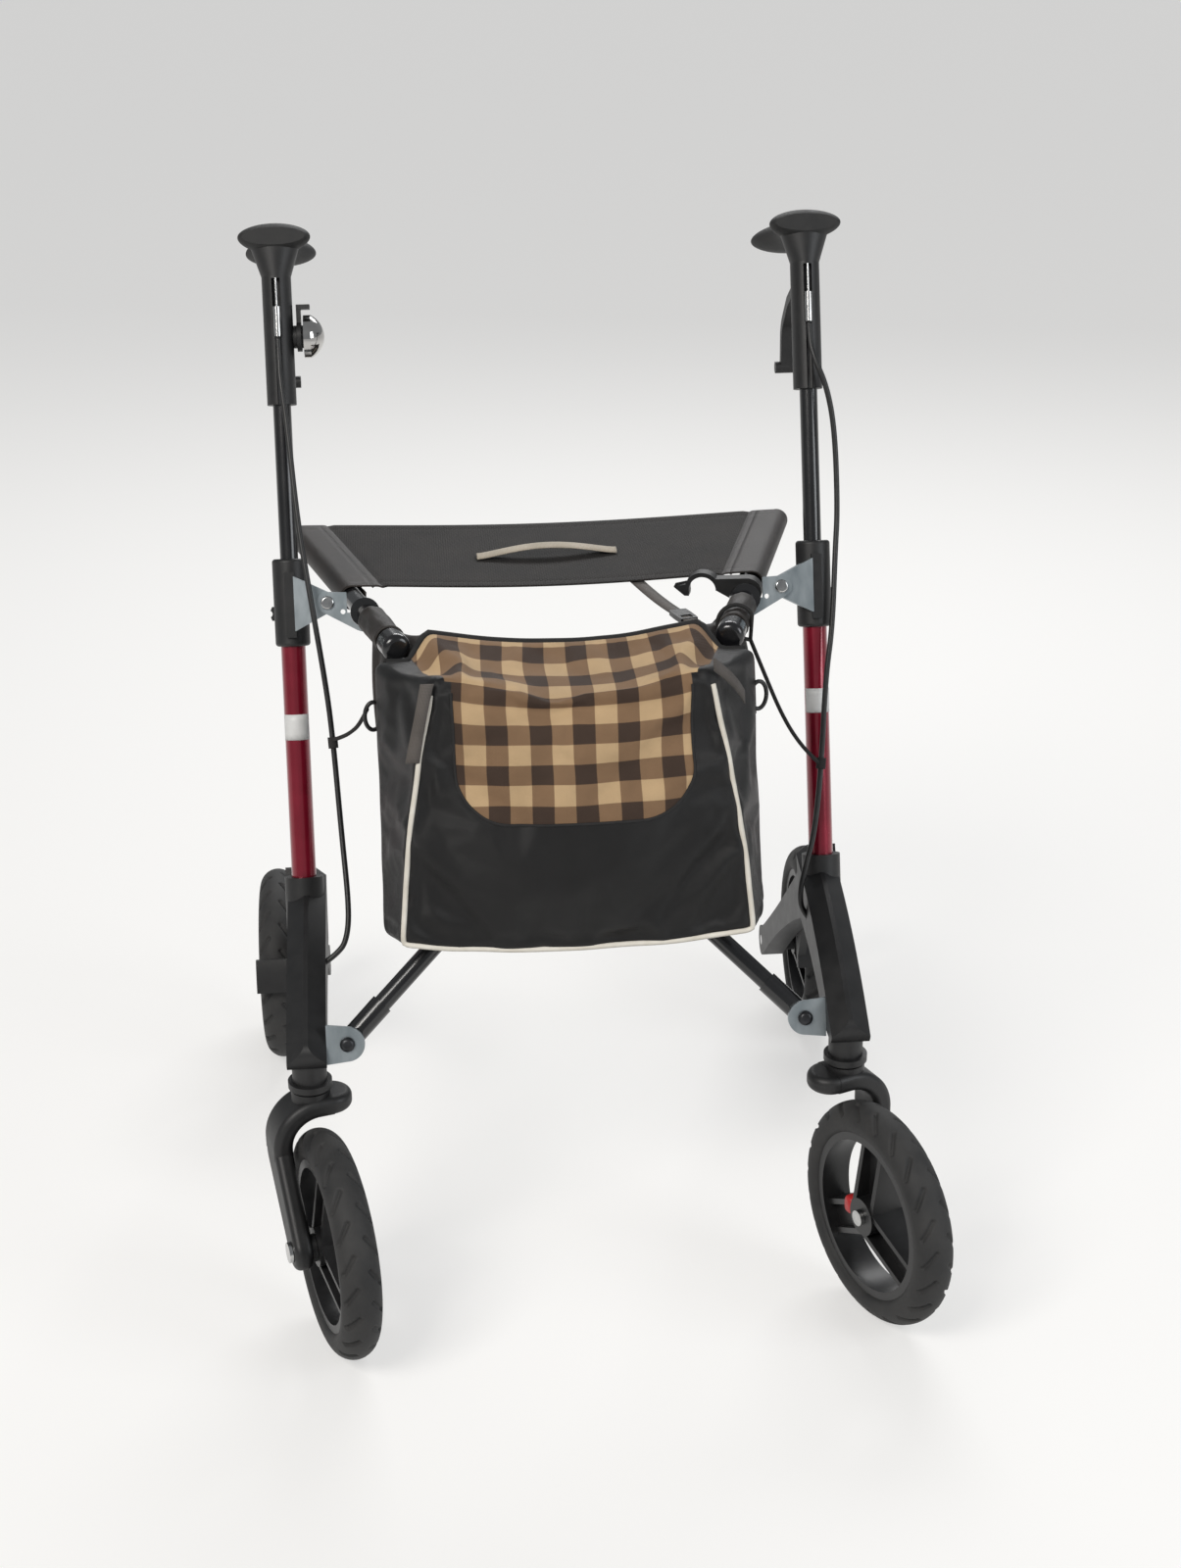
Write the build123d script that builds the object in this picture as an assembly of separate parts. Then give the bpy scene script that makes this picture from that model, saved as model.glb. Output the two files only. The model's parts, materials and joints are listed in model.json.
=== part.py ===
from build123d import *
import os
from math import atan2, cos, radians, sin, tan

os.makedirs("parts", exist_ok=True)

# Rollator: a folding four-wheeled walking frame with a web seat, hand brakes and a front bag.
# Millimetres, +Z up, the user stands at +Y and faces -Y, left is +X and right is -X.

# Clearances
RUN_FIT = 0.05
SIDE_GAP = 0.3
SOFT_GAP = 0.4

# Wheels
WHEEL_D = 200.0
TYRE_W = 35.0
TYRE_H = 25.0
RIM_WALL = 7.0
RIM_W = 28.0
HUB_D = 34.0
HUB_L = 36.0
SPOKE_PAIRS = 3
SPOKE_W = 5.0
SPOKE_DEPTH = 16.0
SPOKE_SPACING = 26.0
SPOKE_WEB_T = 5.0
AXLE_D = 10.0
AXLE_HEAD_D = 18.0
AXLE_HEAD_T = 3.0

# Uprights: two parallel tubes that lean back from the front legs to the handles
LEAN = 17.1
UPRIGHT_X = 236.0
UPRIGHT_FOOT_Y = -160.0
TUBE_D = 22.0
TUBE_WALL = 2.0
TUBE_LOW = 312.0
TUBE_TOP = 625.0
HANDLE_TUBE_D = 16.0
HANDLE_TUBE_WALL = 1.5
HANDLE_TUBE_LOW = 470.0
HANDLE_TUBE_TOP = 840.0
COLLAR_D = 31.0
COLLAR_LOW = 572.0
COLLAR_TOP = 650.0
COLLAR_RIB_W = 9.0
COLLAR_RIB_DEPTH = 6.4
KNOB_D = 24.0
KNOB_T = 13.0
KNOB_X = 8.0
KNOB_Z = 601.0
KNOB_SCREW_D = 6.0

# Handles
SLEEVE_W = 26.0
SLEEVE_DEPTH = 32.0
SLEEVE_SET_BACK = 3.0
SLEEVE_LOW = 786.0
FLARE_H = 34.0
FLARE_W = 48.0
FLARE_DEPTH = 36.0
GRIP_Z = 932.0
GRIP_FRONT = -16.0
GRIP_LENGTH = 141.0
GRIP_W = 61.0
GRIP_WAIST_W = 44.0
GRIP_T = 22.0
SLOT_W = 7.4
SLOT_LOW = 845.0
SLOT_HIGH = 896.0
SLOT_DEPTH = 8.0
CABLE_FRONT = -13.5
ADJUSTER_D = 6.6
ADJUSTER_L = 26.0
INNER_WIRE_D = 2.0
LEVER_PIVOT_Y = 12.0
LEVER_PIVOT_Z = 880.0
LEVER_W = 16.0
LEVER_T = 9.0
LEVER_ROOT_W = 9.0
LEVER_PIN_D = 5.0
LEVER_POCKET_H = 24.0
LEVER_TIP_W = 26.0

# Bell on the right handle
BELL_D = 38.0
BELL_DEPTH = 18.0
BELL_WALL = 1.6
BELL_Y = 8.0
BELL_Z = 846.0
BELL_BASE_D = 20.0
BELL_BASE_T = 9.0
BELL_STEM_D = 6.0
BELL_LEVER_L = 26.0
BELL_LEVER_T = 4.0

# Fold hinges, in the plane of the uprights
BOLT_X = 199.0
BOLT_Y = -117.0
BOLT_Z = 235.0
BOLT_D = 8.0
BOLT_HEAD_D = 13.0
SEAT_X = 170.0
SEAT_Y = -20.5
SEAT_Z = 600.5
RIVET_X = 203.0
RIVET_Z = 610.0
RIVET_D = 6.0
RIVET_HEAD_D = 12.0
BRACE_D = 16.0
BRACE_WALL = 1.8
BRACE_OFFSET = 9.0
BRACE_EYE_D = 24.0
BRACE_EYE_T = 13.0
BRACE_BOOT_D = 19.5
BRACE_BOOT_L = 44.0
PIVOT_D = 8.0
PLATE_T = 4.0
HINGE_PLATE_R = 15.0
HINGE_PLATE_H = 34.0
BRACKET_T = 3.0
BRACKET_H = 48.0
BRACKET_DEPTH = 16.0
BRACKET_BOSS_R = 8.5
REST_BOSS_R = 9.5
REST_HOLE_D = 4.4
REST_LIFT_ROOM = 2.5

# Seat
SEAT_TUBE_D = 18.0
SEAT_TUBE_WALL = 2.0
SEAT_SPLAY = 15.0
SEAT_AHEAD = 97.0
SEAT_BEHIND = 243.0
SEAT_CAP_D = 25.0
SEAT_CAP_L = 22.0
SEAT_END_D = 21.0
SEAT_COLLAR_D = 26.0
SEAT_COLLAR_L = 17.0
WEB_START = 44.0
WEB_END = 238.0
WEB_T = 2.2
WEB_SLEEVE_T = 1.6
STRAP_HALF = 66.0
STRAP_RISE = 20.0
STRAP_W = 22.0
STRAP_T = 2.0
STRAP_BACK = 131.0
HOOK_BACK = 22.0
HOOK_T = 12.0
HOOK_REACH = 41.0
HOOK_NOTCH_R = 12.3
HOOK_RING_R = 13.0
HOOK_ARCH_T = 4.0
HOOK_NECK_H = 6.0
HOOK_NECK_R = 5.0
HOOK_NOSE_L = 14.0

# Lower legs: an arch from the front swivel over the upright's foot to the rear axle
LEG_IN = 217.0
LEG_W = 34.0
REAR_LEG_IN = 232.0
REAR_LEG_W = 22.0
REAR_WHEEL_X = 284.0
REAR_AXLE_Y = 274.0
REAR_BOSS_D = 32.0
SOCKET_D = 35.0
SOCKET_TOP = 364.0
LEG_RIDGE_W = 4.0
LEG_RIDGE_H = 9.0
RIM_FRONT_Y = -75.0
RIM_FRONT_Z = 338.0
RIM_BACK_Y = -26.0
RIM_BACK_Z = 345.0
LEG_BOW_Y = -152.0
LEG_BOW_Z = 312.0
NOSE_Z = 271.0
LEG_FLOOR_Z = 248.0
ARCH_Y = -134.0
ARCH_Z = 274.0
UNDER_Y = -60.0
UNDER_Z = 288.0
REAR_UNDER_Y = 60.0
REAR_UNDER_Z = 226.0
REAR_TOP_Y = 80.0
REAR_TOP_Z = 258.0
NECK_X = 233.0
NECK_Y = -216.0
NECK_D = 30.0
NECK_LOW = 222.0
NECK_TOP = 262.0
NECK_RING_D = 38.0
NECK_RING_T = 6.0
STEM_D = 12.0
STEM_TOP = 245.0

# Caster forks, each seen as in the photographed pose: wheel ahead of the swivel
TRAIL = 59.0
LEFT_YAW = 22.8
RIGHT_YAW = 15.9
FORK_IN = 22.0
FORK_ARM_T = 17.0
FORK_DEPTH = 40.0
FORK_ROUND = 6.0
FORK_STEP = 0.4
FORK_INNER_END = 16.0
FORK_TOP = 217.0
FORK_BEND_R = 34.0
FORK_KNEE = 10.0
FORK_FOOT_R = 17.0
FORK_RING_D = 34.0
NECK_GAP = 0.5

# Brake shoes on the rear legs
SHOE_PIVOT_Y = 150.0
SHOE_PIVOT_Z = 187.0
SHOE_PIN_D = 8.0
SHOE_ARM_T = 8.0
SHOE_GAP = 3.5
SHOE_T = 9.0
SHOE_W = 38.0
SHOE_H = 34.0
SHOE_ANGLE = 161.0

# Brake cables and cloth ties
CABLE_D = 5.0
TIE_D = 3.6
CLIP_L = 7.0
CLIP_T = 1.6

# Bag
BAG_FRONT_TOP = (-198.0, 586.0)
BAG_FRONT_LOW = (-238.0, 362.0)
BAG_REAR_TOP = (-114.0, 566.0)
BAG_REAR_LOW = (-174.0, 352.0)
BAG_TOP_HALF = 113.0
BAG_LOW_HALF = 150.0
BAG_REAR_HALF = 166.0
BAG_ROUND = 12.0
BAG_PUFF = 6.0
BAG_DIP_FRONT = 26.0
BAG_DIP_REAR = 14.0
BAG_LOOP_T = 3.2
BAG_LOOP_L = 54.0
BAG_TAB_T = 3.0

# Worked out from the sizes above
WHEEL_R = WHEEL_D / 2
BASE = (Align.CENTER, Align.CENTER, Align.MIN)
upright_frame = Location((0, UPRIGHT_FOOT_Y, 0), (-LEAN, 0, 0))
COLLAR_R = COLLAR_D / 2
SLEEVE_FRONT = SLEEVE_SET_BACK - SLEEVE_DEPTH / 2
SLEEVE_BACK = SLEEVE_SET_BACK + SLEEVE_DEPTH / 2


def rod(a, b, radius):
    """A round bar from point a to point b."""
    axis = Vector(*b) - Vector(*a)
    return Plane(origin=a, z_dir=axis).location * Cylinder(radius, axis.length, align=BASE)


def upright_point(x, y, z):
    """A point of the leaning frame, in the object's own axes."""
    return (upright_frame * Pos(x, y, z)).position


def seat_x(y):
    """Half the distance between the seat tubes' axes, at depth y of the object."""
    hinge = upright_point(SEAT_X, SEAT_Y, SEAT_Z)
    return SEAT_X + (y - hinge.Y) * tan(radians(SEAT_SPLAY))


SEAT_HEIGHT = upright_point(SEAT_X, SEAT_Y, SEAT_Z).Z
SEAT_DEPTH = upright_point(SEAT_X, SEAT_Y, SEAT_Z).Y
SEAT_FRONT_Y = SEAT_DEPTH - SEAT_AHEAD
SEAT_REAR_Y = SEAT_DEPTH + SEAT_BEHIND
WEB_FRONT_Y = SEAT_DEPTH + WEB_START
WEB_REAR_Y = SEAT_DEPTH + WEB_END
STRAP_Y = SEAT_DEPTH + STRAP_BACK
HOOK_Y = SEAT_DEPTH + HOOK_BACK


def seat_point(y):
    return (seat_x(y), y, SEAT_HEIGHT)


def both_sides(name, left, body=export_step):
    """Writes a left part and its mirror image."""
    body(left, f"parts/left_{name}.step")
    body(mirror(left, about=Plane.YZ), f"parts/right_{name}.step")


def disc_x(radius, low, high, y=0.0, z=0.0):
    """A disc or bar along X."""
    return rod((low, y, z), (high, y, z), radius)


def disc_y(radius, low, high, x=0.0, z=0.0):
    """A disc or bar along Y."""
    return rod((x, low, z), (x, high, z), radius)


def plate_y(outline, front, back):
    """A plate cut to an outline drawn in x and z, between two depths."""
    return Pos(0, back, 0) * extrude(Plane.XZ * outline, back - front)


# Wheels, along X about the origin


def tyre():
    low = WHEEL_R - TYRE_H
    bead = RIM_W / 2
    half = TYRE_W / 2
    shoulder = WHEEL_R - TYRE_W / 2 + 2
    section = make_face(
        [
            Line((-bead, low), (-half, shoulder - 4)),
            Line((-half, shoulder - 4), (-half, shoulder)),
            ThreePointArc((-half, shoulder), (0, WHEEL_R), (half, shoulder)),
            Line((half, shoulder), (half, shoulder - 4)),
            Line((half, shoulder - 4), (bead, low)),
            Line((bead, low), (-bead, low)),
        ]
    )
    return revolve(section, Axis.X)


def wheel_hub():
    rim_out = WHEEL_R - TYRE_H
    rim_in = rim_out - RIM_WALL
    half = RIM_W / 2
    hub = disc_x(rim_out, -half, half) - disc_x(rim_in, -half, half)
    barrel = disc_x(HUB_D / 2, -HUB_L / 2, HUB_L / 2)
    reach = rim_in + RIM_WALL / 2
    rib = make_face(Polyline((-HUB_L / 2, 0), (HUB_L / 2, 0), (SPOKE_DEPTH / 2, reach), (-SPOKE_DEPTH / 2, reach), close=True))
    pair = Pos(0, 0, reach / 2) * Box(SPOKE_WEB_T, SPOKE_SPACING, reach)
    for side in (-1, 1):
        pair += plate_y(rib, side * SPOKE_SPACING / 2 - SPOKE_W / 2, side * SPOKE_SPACING / 2 + SPOKE_W / 2)
    for i in range(SPOKE_PAIRS):
        hub += Rot(360 / SPOKE_PAIRS * i, 0, 0) * pair
    hub += barrel
    return hub - disc_x(AXLE_D / 2 + RUN_FIT, -HUB_L, HUB_L)


# Side frames, drawn for the left side


def frame_tube():
    length = TUBE_TOP - TUBE_LOW
    tube = Cylinder(TUBE_D / 2, length, align=BASE) - Cylinder(TUBE_D / 2 - TUBE_WALL, length, align=BASE)
    return upright_frame * Pos(UPRIGHT_X, 0, TUBE_LOW) * tube


def clamp_collar():
    height = COLLAR_TOP - COLLAR_LOW
    body = Cylinder(COLLAR_R, height, align=BASE)
    body = fillet(body.edges().filter_by(GeomType.CIRCLE), 3)
    rib = Pos(0, -COLLAR_R, 8) * Box(COLLAR_RIB_W, COLLAR_RIB_DEPTH, height - 20, align=BASE)
    body += rib - Cylinder(COLLAR_R - 3, height, align=BASE)
    seat = TUBE_TOP - COLLAR_LOW
    body -= Cylinder(TUBE_D / 2, seat, align=BASE)
    body -= Cylinder(HANDLE_TUBE_D / 2 + RUN_FIT, height, align=BASE)
    screw_z = KNOB_Z - COLLAR_LOW
    body -= disc_y(KNOB_SCREW_D / 2 + RUN_FIT, 0, 2 * COLLAR_R, KNOB_X, screw_z) - Cylinder(
        TUBE_D / 2, height, align=BASE
    )
    return upright_frame * Pos(UPRIGHT_X, 0, COLLAR_LOW) * body


def clamp_knob():
    front = COLLAR_R + SIDE_GAP
    knob = disc_y(KNOB_D / 2, front, front + KNOB_T, KNOB_X, KNOB_Z)
    knob = chamfer(knob.edges().filter_by(GeomType.CIRCLE).sort_by(Axis.Y)[-1:], 2)
    for i in range(8):
        turn = radians(45 * i)
        x = KNOB_X + (KNOB_D / 2 + 1) * cos(turn)
        z = KNOB_Z + (KNOB_D / 2 + 1) * sin(turn)
        knob -= disc_y(3, front - 1, front + KNOB_T + 1, x, z)
    tip = TUBE_D / 2 + 1
    knob += disc_y(KNOB_SCREW_D / 2, tip, front + 1, KNOB_X, KNOB_Z)
    return upright_frame * Pos(UPRIGHT_X, 0, 0) * knob


def lower_leg():
    rim_front = (RIM_FRONT_Y, RIM_FRONT_Z)
    rim_back = (RIM_BACK_Y, RIM_BACK_Z)
    nose_top = (NECK_Y - NECK_D * 0.4, NOSE_Z)
    nose_low = (NECK_Y - NECK_D / 2, LEG_FLOOR_Z)
    heel = (NECK_Y + NECK_D / 2, LEG_FLOOR_Z)
    under = (UNDER_Y, UNDER_Z)
    bow = ThreePointArc(rim_front, (LEG_BOW_Y, LEG_BOW_Z), nose_top)
    front = make_face(
        [
            bow,
            ThreePointArc(nose_top, (NECK_Y - NECK_D * 0.65, (NOSE_Z + LEG_FLOOR_Z) / 2), nose_low),
            Line(nose_low, heel),
            ThreePointArc(heel, (ARCH_Y, ARCH_Z), under),
            Line(under, rim_back),
            Line(rim_back, rim_front),
        ]
    )
    leg = Pos(LEG_IN, 0, 0) * extrude(Plane.YZ * front, LEG_W)
    middle, outside = LEG_IN + LEG_W / 2, LEG_IN + LEG_W
    ridge = Polyline(
        (LEG_IN, bow.radius / 2),
        (LEG_IN, bow.radius - LEG_RIDGE_H),
        (middle - LEG_RIDGE_W / 2, bow.radius),
        (middle + LEG_RIDGE_W / 2, bow.radius),
        (outside, bow.radius - LEG_RIDGE_H),
        (outside, bow.radius / 2),
        close=True,
    )
    ridged = revolve(Plane.XZ * make_face(ridge), Axis.X)
    leg = leg & Pos(0, bow.arc_center.X, bow.arc_center.Y) * ridged
    boss_r = REAR_BOSS_D / 2
    tail_low = (REAR_AXLE_Y - boss_r * 0.75, WHEEL_R - boss_r * 0.75)
    tail_top = (REAR_AXLE_Y, WHEEL_R + boss_r * 0.94)
    rear = make_face(
        [
            Line(rim_back, under),
            ThreePointArc(under, (REAR_UNDER_Y, REAR_UNDER_Z), tail_low),
            Line(tail_low, tail_top),
            ThreePointArc(tail_top, (REAR_TOP_Y, REAR_TOP_Z), rim_back),
        ]
    )
    leg += Pos(REAR_LEG_IN, 0, 0) * extrude(Plane.YZ * rear, REAR_LEG_W)
    boss_end = REAR_WHEEL_X - HUB_L / 2 - SIDE_GAP
    leg += disc_x(boss_r, REAR_LEG_IN, REAR_LEG_IN + REAR_LEG_W, REAR_AXLE_Y, WHEEL_R)
    leg += disc_x(boss_r - 4, REAR_LEG_IN, boss_end, REAR_AXLE_Y, WHEEL_R)
    socket = Cylinder(SOCKET_D / 2, SOCKET_TOP - TUBE_LOW, align=BASE)
    leg += upright_frame * Pos(UPRIGHT_X, 0, TUBE_LOW) * socket
    leg += Pos(NECK_X, NECK_Y, NECK_LOW) * Cylinder(NECK_D / 2, NECK_TOP - NECK_LOW, align=BASE)
    leg += Pos(NECK_X, NECK_Y, NECK_LOW + 2) * Cylinder(NECK_RING_D / 2, NECK_RING_T, align=BASE)
    leg -= upright_frame * Pos(UPRIGHT_X, 0, TUBE_LOW) * Cylinder(TUBE_D / 2, SOCKET_TOP, align=BASE)
    stem_room = STEM_TOP + 1 - NECK_LOW
    leg -= Pos(NECK_X, NECK_Y, NECK_LOW) * Cylinder(STEM_D / 2 + RUN_FIT, stem_room, align=BASE)
    leg -= disc_x(AXLE_D / 2, REAR_LEG_IN, boss_end, REAR_AXLE_Y, WHEEL_R)
    pin_out = REAR_LEG_IN + REAR_LEG_W
    leg -= disc_x(SHOE_PIN_D / 2 + RUN_FIT, pin_out - 14, pin_out, SHOE_PIVOT_Y, SHOE_PIVOT_Z)
    return leg


def rear_axle():
    out = REAR_WHEEL_X + HUB_L / 2 + SIDE_GAP
    axle = disc_x(AXLE_D / 2, REAR_LEG_IN, out, REAR_AXLE_Y, WHEEL_R)
    head = disc_x(AXLE_HEAD_D / 2, out, out + AXLE_HEAD_T, REAR_AXLE_Y, WHEEL_R)
    head = chamfer(head.edges().sort_by(Axis.X)[-1:], 1.5)
    return axle + head


def brake_shoe():
    inside = REAR_LEG_IN + REAR_LEG_W + SOFT_GAP
    reach = WHEEL_R + SHOE_GAP
    angle = radians(SHOE_ANGLE)
    middle = reach + SHOE_T / 2
    y = REAR_AXLE_Y + middle * cos(angle)
    z = WHEEL_R + middle * sin(angle)
    ring = disc_x(reach + SHOE_T, inside, REAR_WHEEL_X + SHOE_W / 2, REAR_AXLE_Y, WHEEL_R)
    ring -= disc_x(reach, inside, REAR_WHEEL_X + SHOE_W / 2, REAR_AXLE_Y, WHEEL_R)
    width = REAR_WHEEL_X + SHOE_W / 2 - inside
    cutter = Pos(inside + width / 2, y, z) * Rot(SHOE_ANGLE, 0, 0) * Box(width, 3 * SHOE_T, SHOE_H)
    shoe = ring & cutter
    outline = make_hull(
        (Pos(SHOE_PIVOT_Y, SHOE_PIVOT_Z) * Circle(9)).edges() + (Pos(y - 1, z) * Circle(5)).edges()
    )
    shoe += Pos(inside, 0, 0) * extrude(Plane.YZ * outline, SHOE_ARM_T)
    return shoe + disc_x(SHOE_PIN_D / 2, inside - 12, inside + 1, SHOE_PIVOT_Y, SHOE_PIVOT_Z)


# Casters, drawn about the swivel axis with the wheel ahead, arm on the left


def fork():
    """One bent arm: a hood over the wheel turns down, then leans forward to the axle."""
    centre = FORK_IN + FORK_ARM_T / 2
    crown = FORK_TOP - FORK_ARM_T / 2
    knee = crown - FORK_BEND_R - FORK_KNEE
    path = FilletPolyline((-FORK_INNER_END, 0, crown), (centre, 0, crown), (centre, 0, knee), radius=FORK_BEND_R)
    start = Plane(origin=(-FORK_INNER_END, 0, crown), x_dir=(0, 1, 0), z_dir=(1, 0, 0))
    hood = sweep(start * RectangleRounded(FORK_DEPTH, FORK_ARM_T, FORK_ROUND), path=path)
    tip = Pos(-FORK_INNER_END, 0, crown) * Cylinder(FORK_DEPTH / 2 - FORK_STEP, FORK_ARM_T - 2 * FORK_STEP)
    hood += fillet(tip.edges().filter_by(GeomType.CIRCLE), FORK_ROUND)
    top = Pos(0, knee) * Circle(FORK_DEPTH / 2 - FORK_STEP)
    foot = Pos(-TRAIL, WHEEL_R) * Circle(FORK_FOOT_R)
    outline = make_face(make_hull(top.edges() + foot.edges()))
    arm = extrude(Plane.YZ * outline, FORK_ARM_T - 2 * FORK_STEP)
    rims = arm.faces().sort_by(Axis.X)[0].edges() + arm.faces().sort_by(Axis.X)[-1].edges()
    hood += Pos(FORK_IN + FORK_STEP, 0, 0) * fillet(rims, FORK_ROUND)
    hood += Pos(0, 0, crown) * Cylinder(FORK_RING_D / 2, NECK_LOW - NECK_GAP - crown, align=BASE)
    hood += Pos(0, 0, crown) * Cylinder(STEM_D / 2, STEM_TOP - crown, align=BASE)
    hood += disc_x(HUB_D / 2 - 5, HUB_L / 2 + SIDE_GAP, centre, -TRAIL, WHEEL_R)
    return hood - disc_x(AXLE_D / 2, 0, 2 * centre, -TRAIL, WHEEL_R)


def front_axle():
    out = FORK_IN + FORK_ARM_T
    end = -HUB_L / 2 - SIDE_GAP
    axle = disc_x(AXLE_D / 2, end, out, -TRAIL, WHEEL_R)
    head = disc_x(AXLE_HEAD_D / 2, out, out + AXLE_HEAD_T, -TRAIL, WHEEL_R)
    nut = disc_x(AXLE_HEAD_D / 2 - 2, end - AXLE_HEAD_T - 1, end, -TRAIL, WHEEL_R)
    return axle + head + nut


def caster_place(side):
    yaw = LEFT_YAW if side > 0 else RIGHT_YAW
    return Pos(side * NECK_X, NECK_Y, 0) * Rot(0, 0, yaw)


# Handles, drawn for the left side


def handle_tube():
    length = HANDLE_TUBE_TOP - HANDLE_TUBE_LOW
    tube = Cylinder(HANDLE_TUBE_D / 2, length, align=BASE)
    tube -= Cylinder(HANDLE_TUBE_D / 2 - HANDLE_TUBE_WALL, length, align=BASE)
    return upright_frame * Pos(UPRIGHT_X, 0, HANDLE_TUBE_LOW) * tube


def grip_form():
    """The palm grip: an oval flange in front, a waist, and a broad end."""
    stations = (
        (0.0, GRIP_W - 6, GRIP_T - 7),
        (4.0, GRIP_W, GRIP_T - 2),
        (GRIP_LENGTH * 0.3, GRIP_WAIST_W, GRIP_T + 2),
        (GRIP_LENGTH * 0.65, GRIP_WAIST_W + 2, GRIP_T + 3),
        (GRIP_LENGTH - 8, GRIP_W + 2, GRIP_T - 1),
        (GRIP_LENGTH, GRIP_W - 6, GRIP_T - 7),
    )
    sections = []
    for along, width, height in stations:
        plane = Plane(origin=(0, GRIP_FRONT + along, GRIP_Z), x_dir=(1, 0, 0), z_dir=(0, 1, 0))
        sections.append(plane * Ellipse(width / 2, height / 2))
    return loft(sections)


def handle_body():
    plane = Plane(origin=(0, SLEEVE_SET_BACK, SLEEVE_LOW))
    sleeve = extrude(plane * Ellipse(SLEEVE_W / 2, SLEEVE_DEPTH / 2), GRIP_Z - SLEEVE_LOW)
    flare = [
        Plane(origin=(0, SLEEVE_SET_BACK, GRIP_Z - FLARE_H)) * Ellipse(SLEEVE_W / 2, SLEEVE_DEPTH / 2),
        Plane(origin=(0, SLEEVE_SET_BACK, GRIP_Z)) * Ellipse(FLARE_W / 2, FLARE_DEPTH / 2),
    ]
    sleeve += loft(flare)
    sleeve -= Pos(0, 0, SLEEVE_LOW) * Cylinder(HANDLE_TUBE_D / 2, HANDLE_TUBE_TOP - SLEEVE_LOW, align=BASE)
    slot_h = SLOT_HIGH - SLOT_LOW
    slot = Box(SLOT_W, 2 * SLOT_DEPTH, slot_h, align=BASE)
    sleeve -= Pos(0, SLEEVE_FRONT, SLOT_LOW) * slot
    sleeve -= rod((0, CABLE_FRONT, SLEEVE_LOW), (0, CABLE_FRONT, SLOT_LOW), CABLE_D / 2 + SOFT_GAP)
    pocket_y = LEVER_PIVOT_Y - LEVER_T
    pocket = Box(LEVER_ROOT_W + 1, SLEEVE_DEPTH, LEVER_POCKET_H, align=(Align.CENTER, Align.MIN, Align.CENTER))
    sleeve -= Pos(0, pocket_y, LEVER_PIVOT_Z) * pocket
    sleeve += disc_x(LEVER_PIN_D / 2, -SLEEVE_W / 2 + 3, SLEEVE_W / 2 - 3, LEVER_PIVOT_Y, LEVER_PIVOT_Z)
    return upright_frame * Pos(UPRIGHT_X, 0, 0) * (sleeve - grip_form())


def grip():
    return upright_frame * Pos(UPRIGHT_X, 0, 0) * grip_form()


def brake_lever():
    y, z = LEVER_PIVOT_Y, LEVER_PIVOT_Z
    root = trace(Line((y, z), (y + 14, z - 3)), LEVER_T)
    blade_line = FilletPolyline(
        (y + 10, z - 2), (y + 48, z - 10), (y + 88, z - 30), (y + 98, z - 66), radius=22
    )
    blade = trace(blade_line, LEVER_T)
    lever = Pos(-LEVER_W / 2, 0, 0) * extrude(Plane.YZ * blade, LEVER_W)
    lever += Pos(-LEVER_ROOT_W / 2, 0, 0) * extrude(Plane.YZ * root, LEVER_ROOT_W)
    lever += disc_x(LEVER_T / 2 + 1.5, -LEVER_ROOT_W / 2, LEVER_ROOT_W / 2, y, z)
    lever += disc_x(LEVER_T / 2 + 1, -LEVER_TIP_W / 2, LEVER_TIP_W / 2, y + 98, z - 66)
    clear = Pos(0, SLEEVE_SET_BACK, z - 30) * extrude(
        Ellipse(SLEEVE_W / 2 + SOFT_GAP, SLEEVE_DEPTH / 2 + SOFT_GAP), 60
    )
    clear -= Pos(0, 0, z - 40) * Box(LEVER_ROOT_W, 100, 100, align=BASE)
    lever -= clear
    lever -= disc_x(LEVER_PIN_D / 2 + RUN_FIT, -LEVER_W, LEVER_W, y, z)
    return upright_frame * Pos(UPRIGHT_X, 0, 0) * lever


def cable_adjuster():
    high = SLOT_LOW + ADJUSTER_L
    barrel = rod((0, CABLE_FRONT, SLOT_LOW), (0, CABLE_FRONT, high), ADJUSTER_D / 2)
    wire = rod((0, CABLE_FRONT, SLOT_LOW), (0, CABLE_FRONT, SLOT_HIGH), INNER_WIRE_D / 2)
    return upright_frame * Pos(UPRIGHT_X, 0, 0) * (barrel + wire)


# Fold hinges


def hinge_bracket():
    middle = Pos(RIVET_X, RIVET_Z) * Circle(BRACKET_BOSS_R)
    wide = Pos(UPRIGHT_X - 4, RIVET_Z) * Rectangle(1, BRACKET_H)
    outline = make_hull(middle.edges() + wide.edges())
    front = SEAT_Y + SIDE_GAP / 2
    channel = plate_y(outline, front, front + BRACKET_DEPTH)
    channel -= plate_y(offset(outline, -BRACKET_T), front + BRACKET_T, front + BRACKET_DEPTH)
    channel -= disc_y(RIVET_D / 2, front - 1, front + BRACKET_T, RIVET_X, RIVET_Z)
    channel -= Pos(UPRIGHT_X, 0, 0) * Cylinder(COLLAR_R, 2 * COLLAR_TOP)
    channel -= Pos(UPRIGHT_X, -COLLAR_R, 0) * Box(COLLAR_RIB_W, COLLAR_RIB_DEPTH, 2 * COLLAR_TOP)
    return upright_frame * channel


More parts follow.
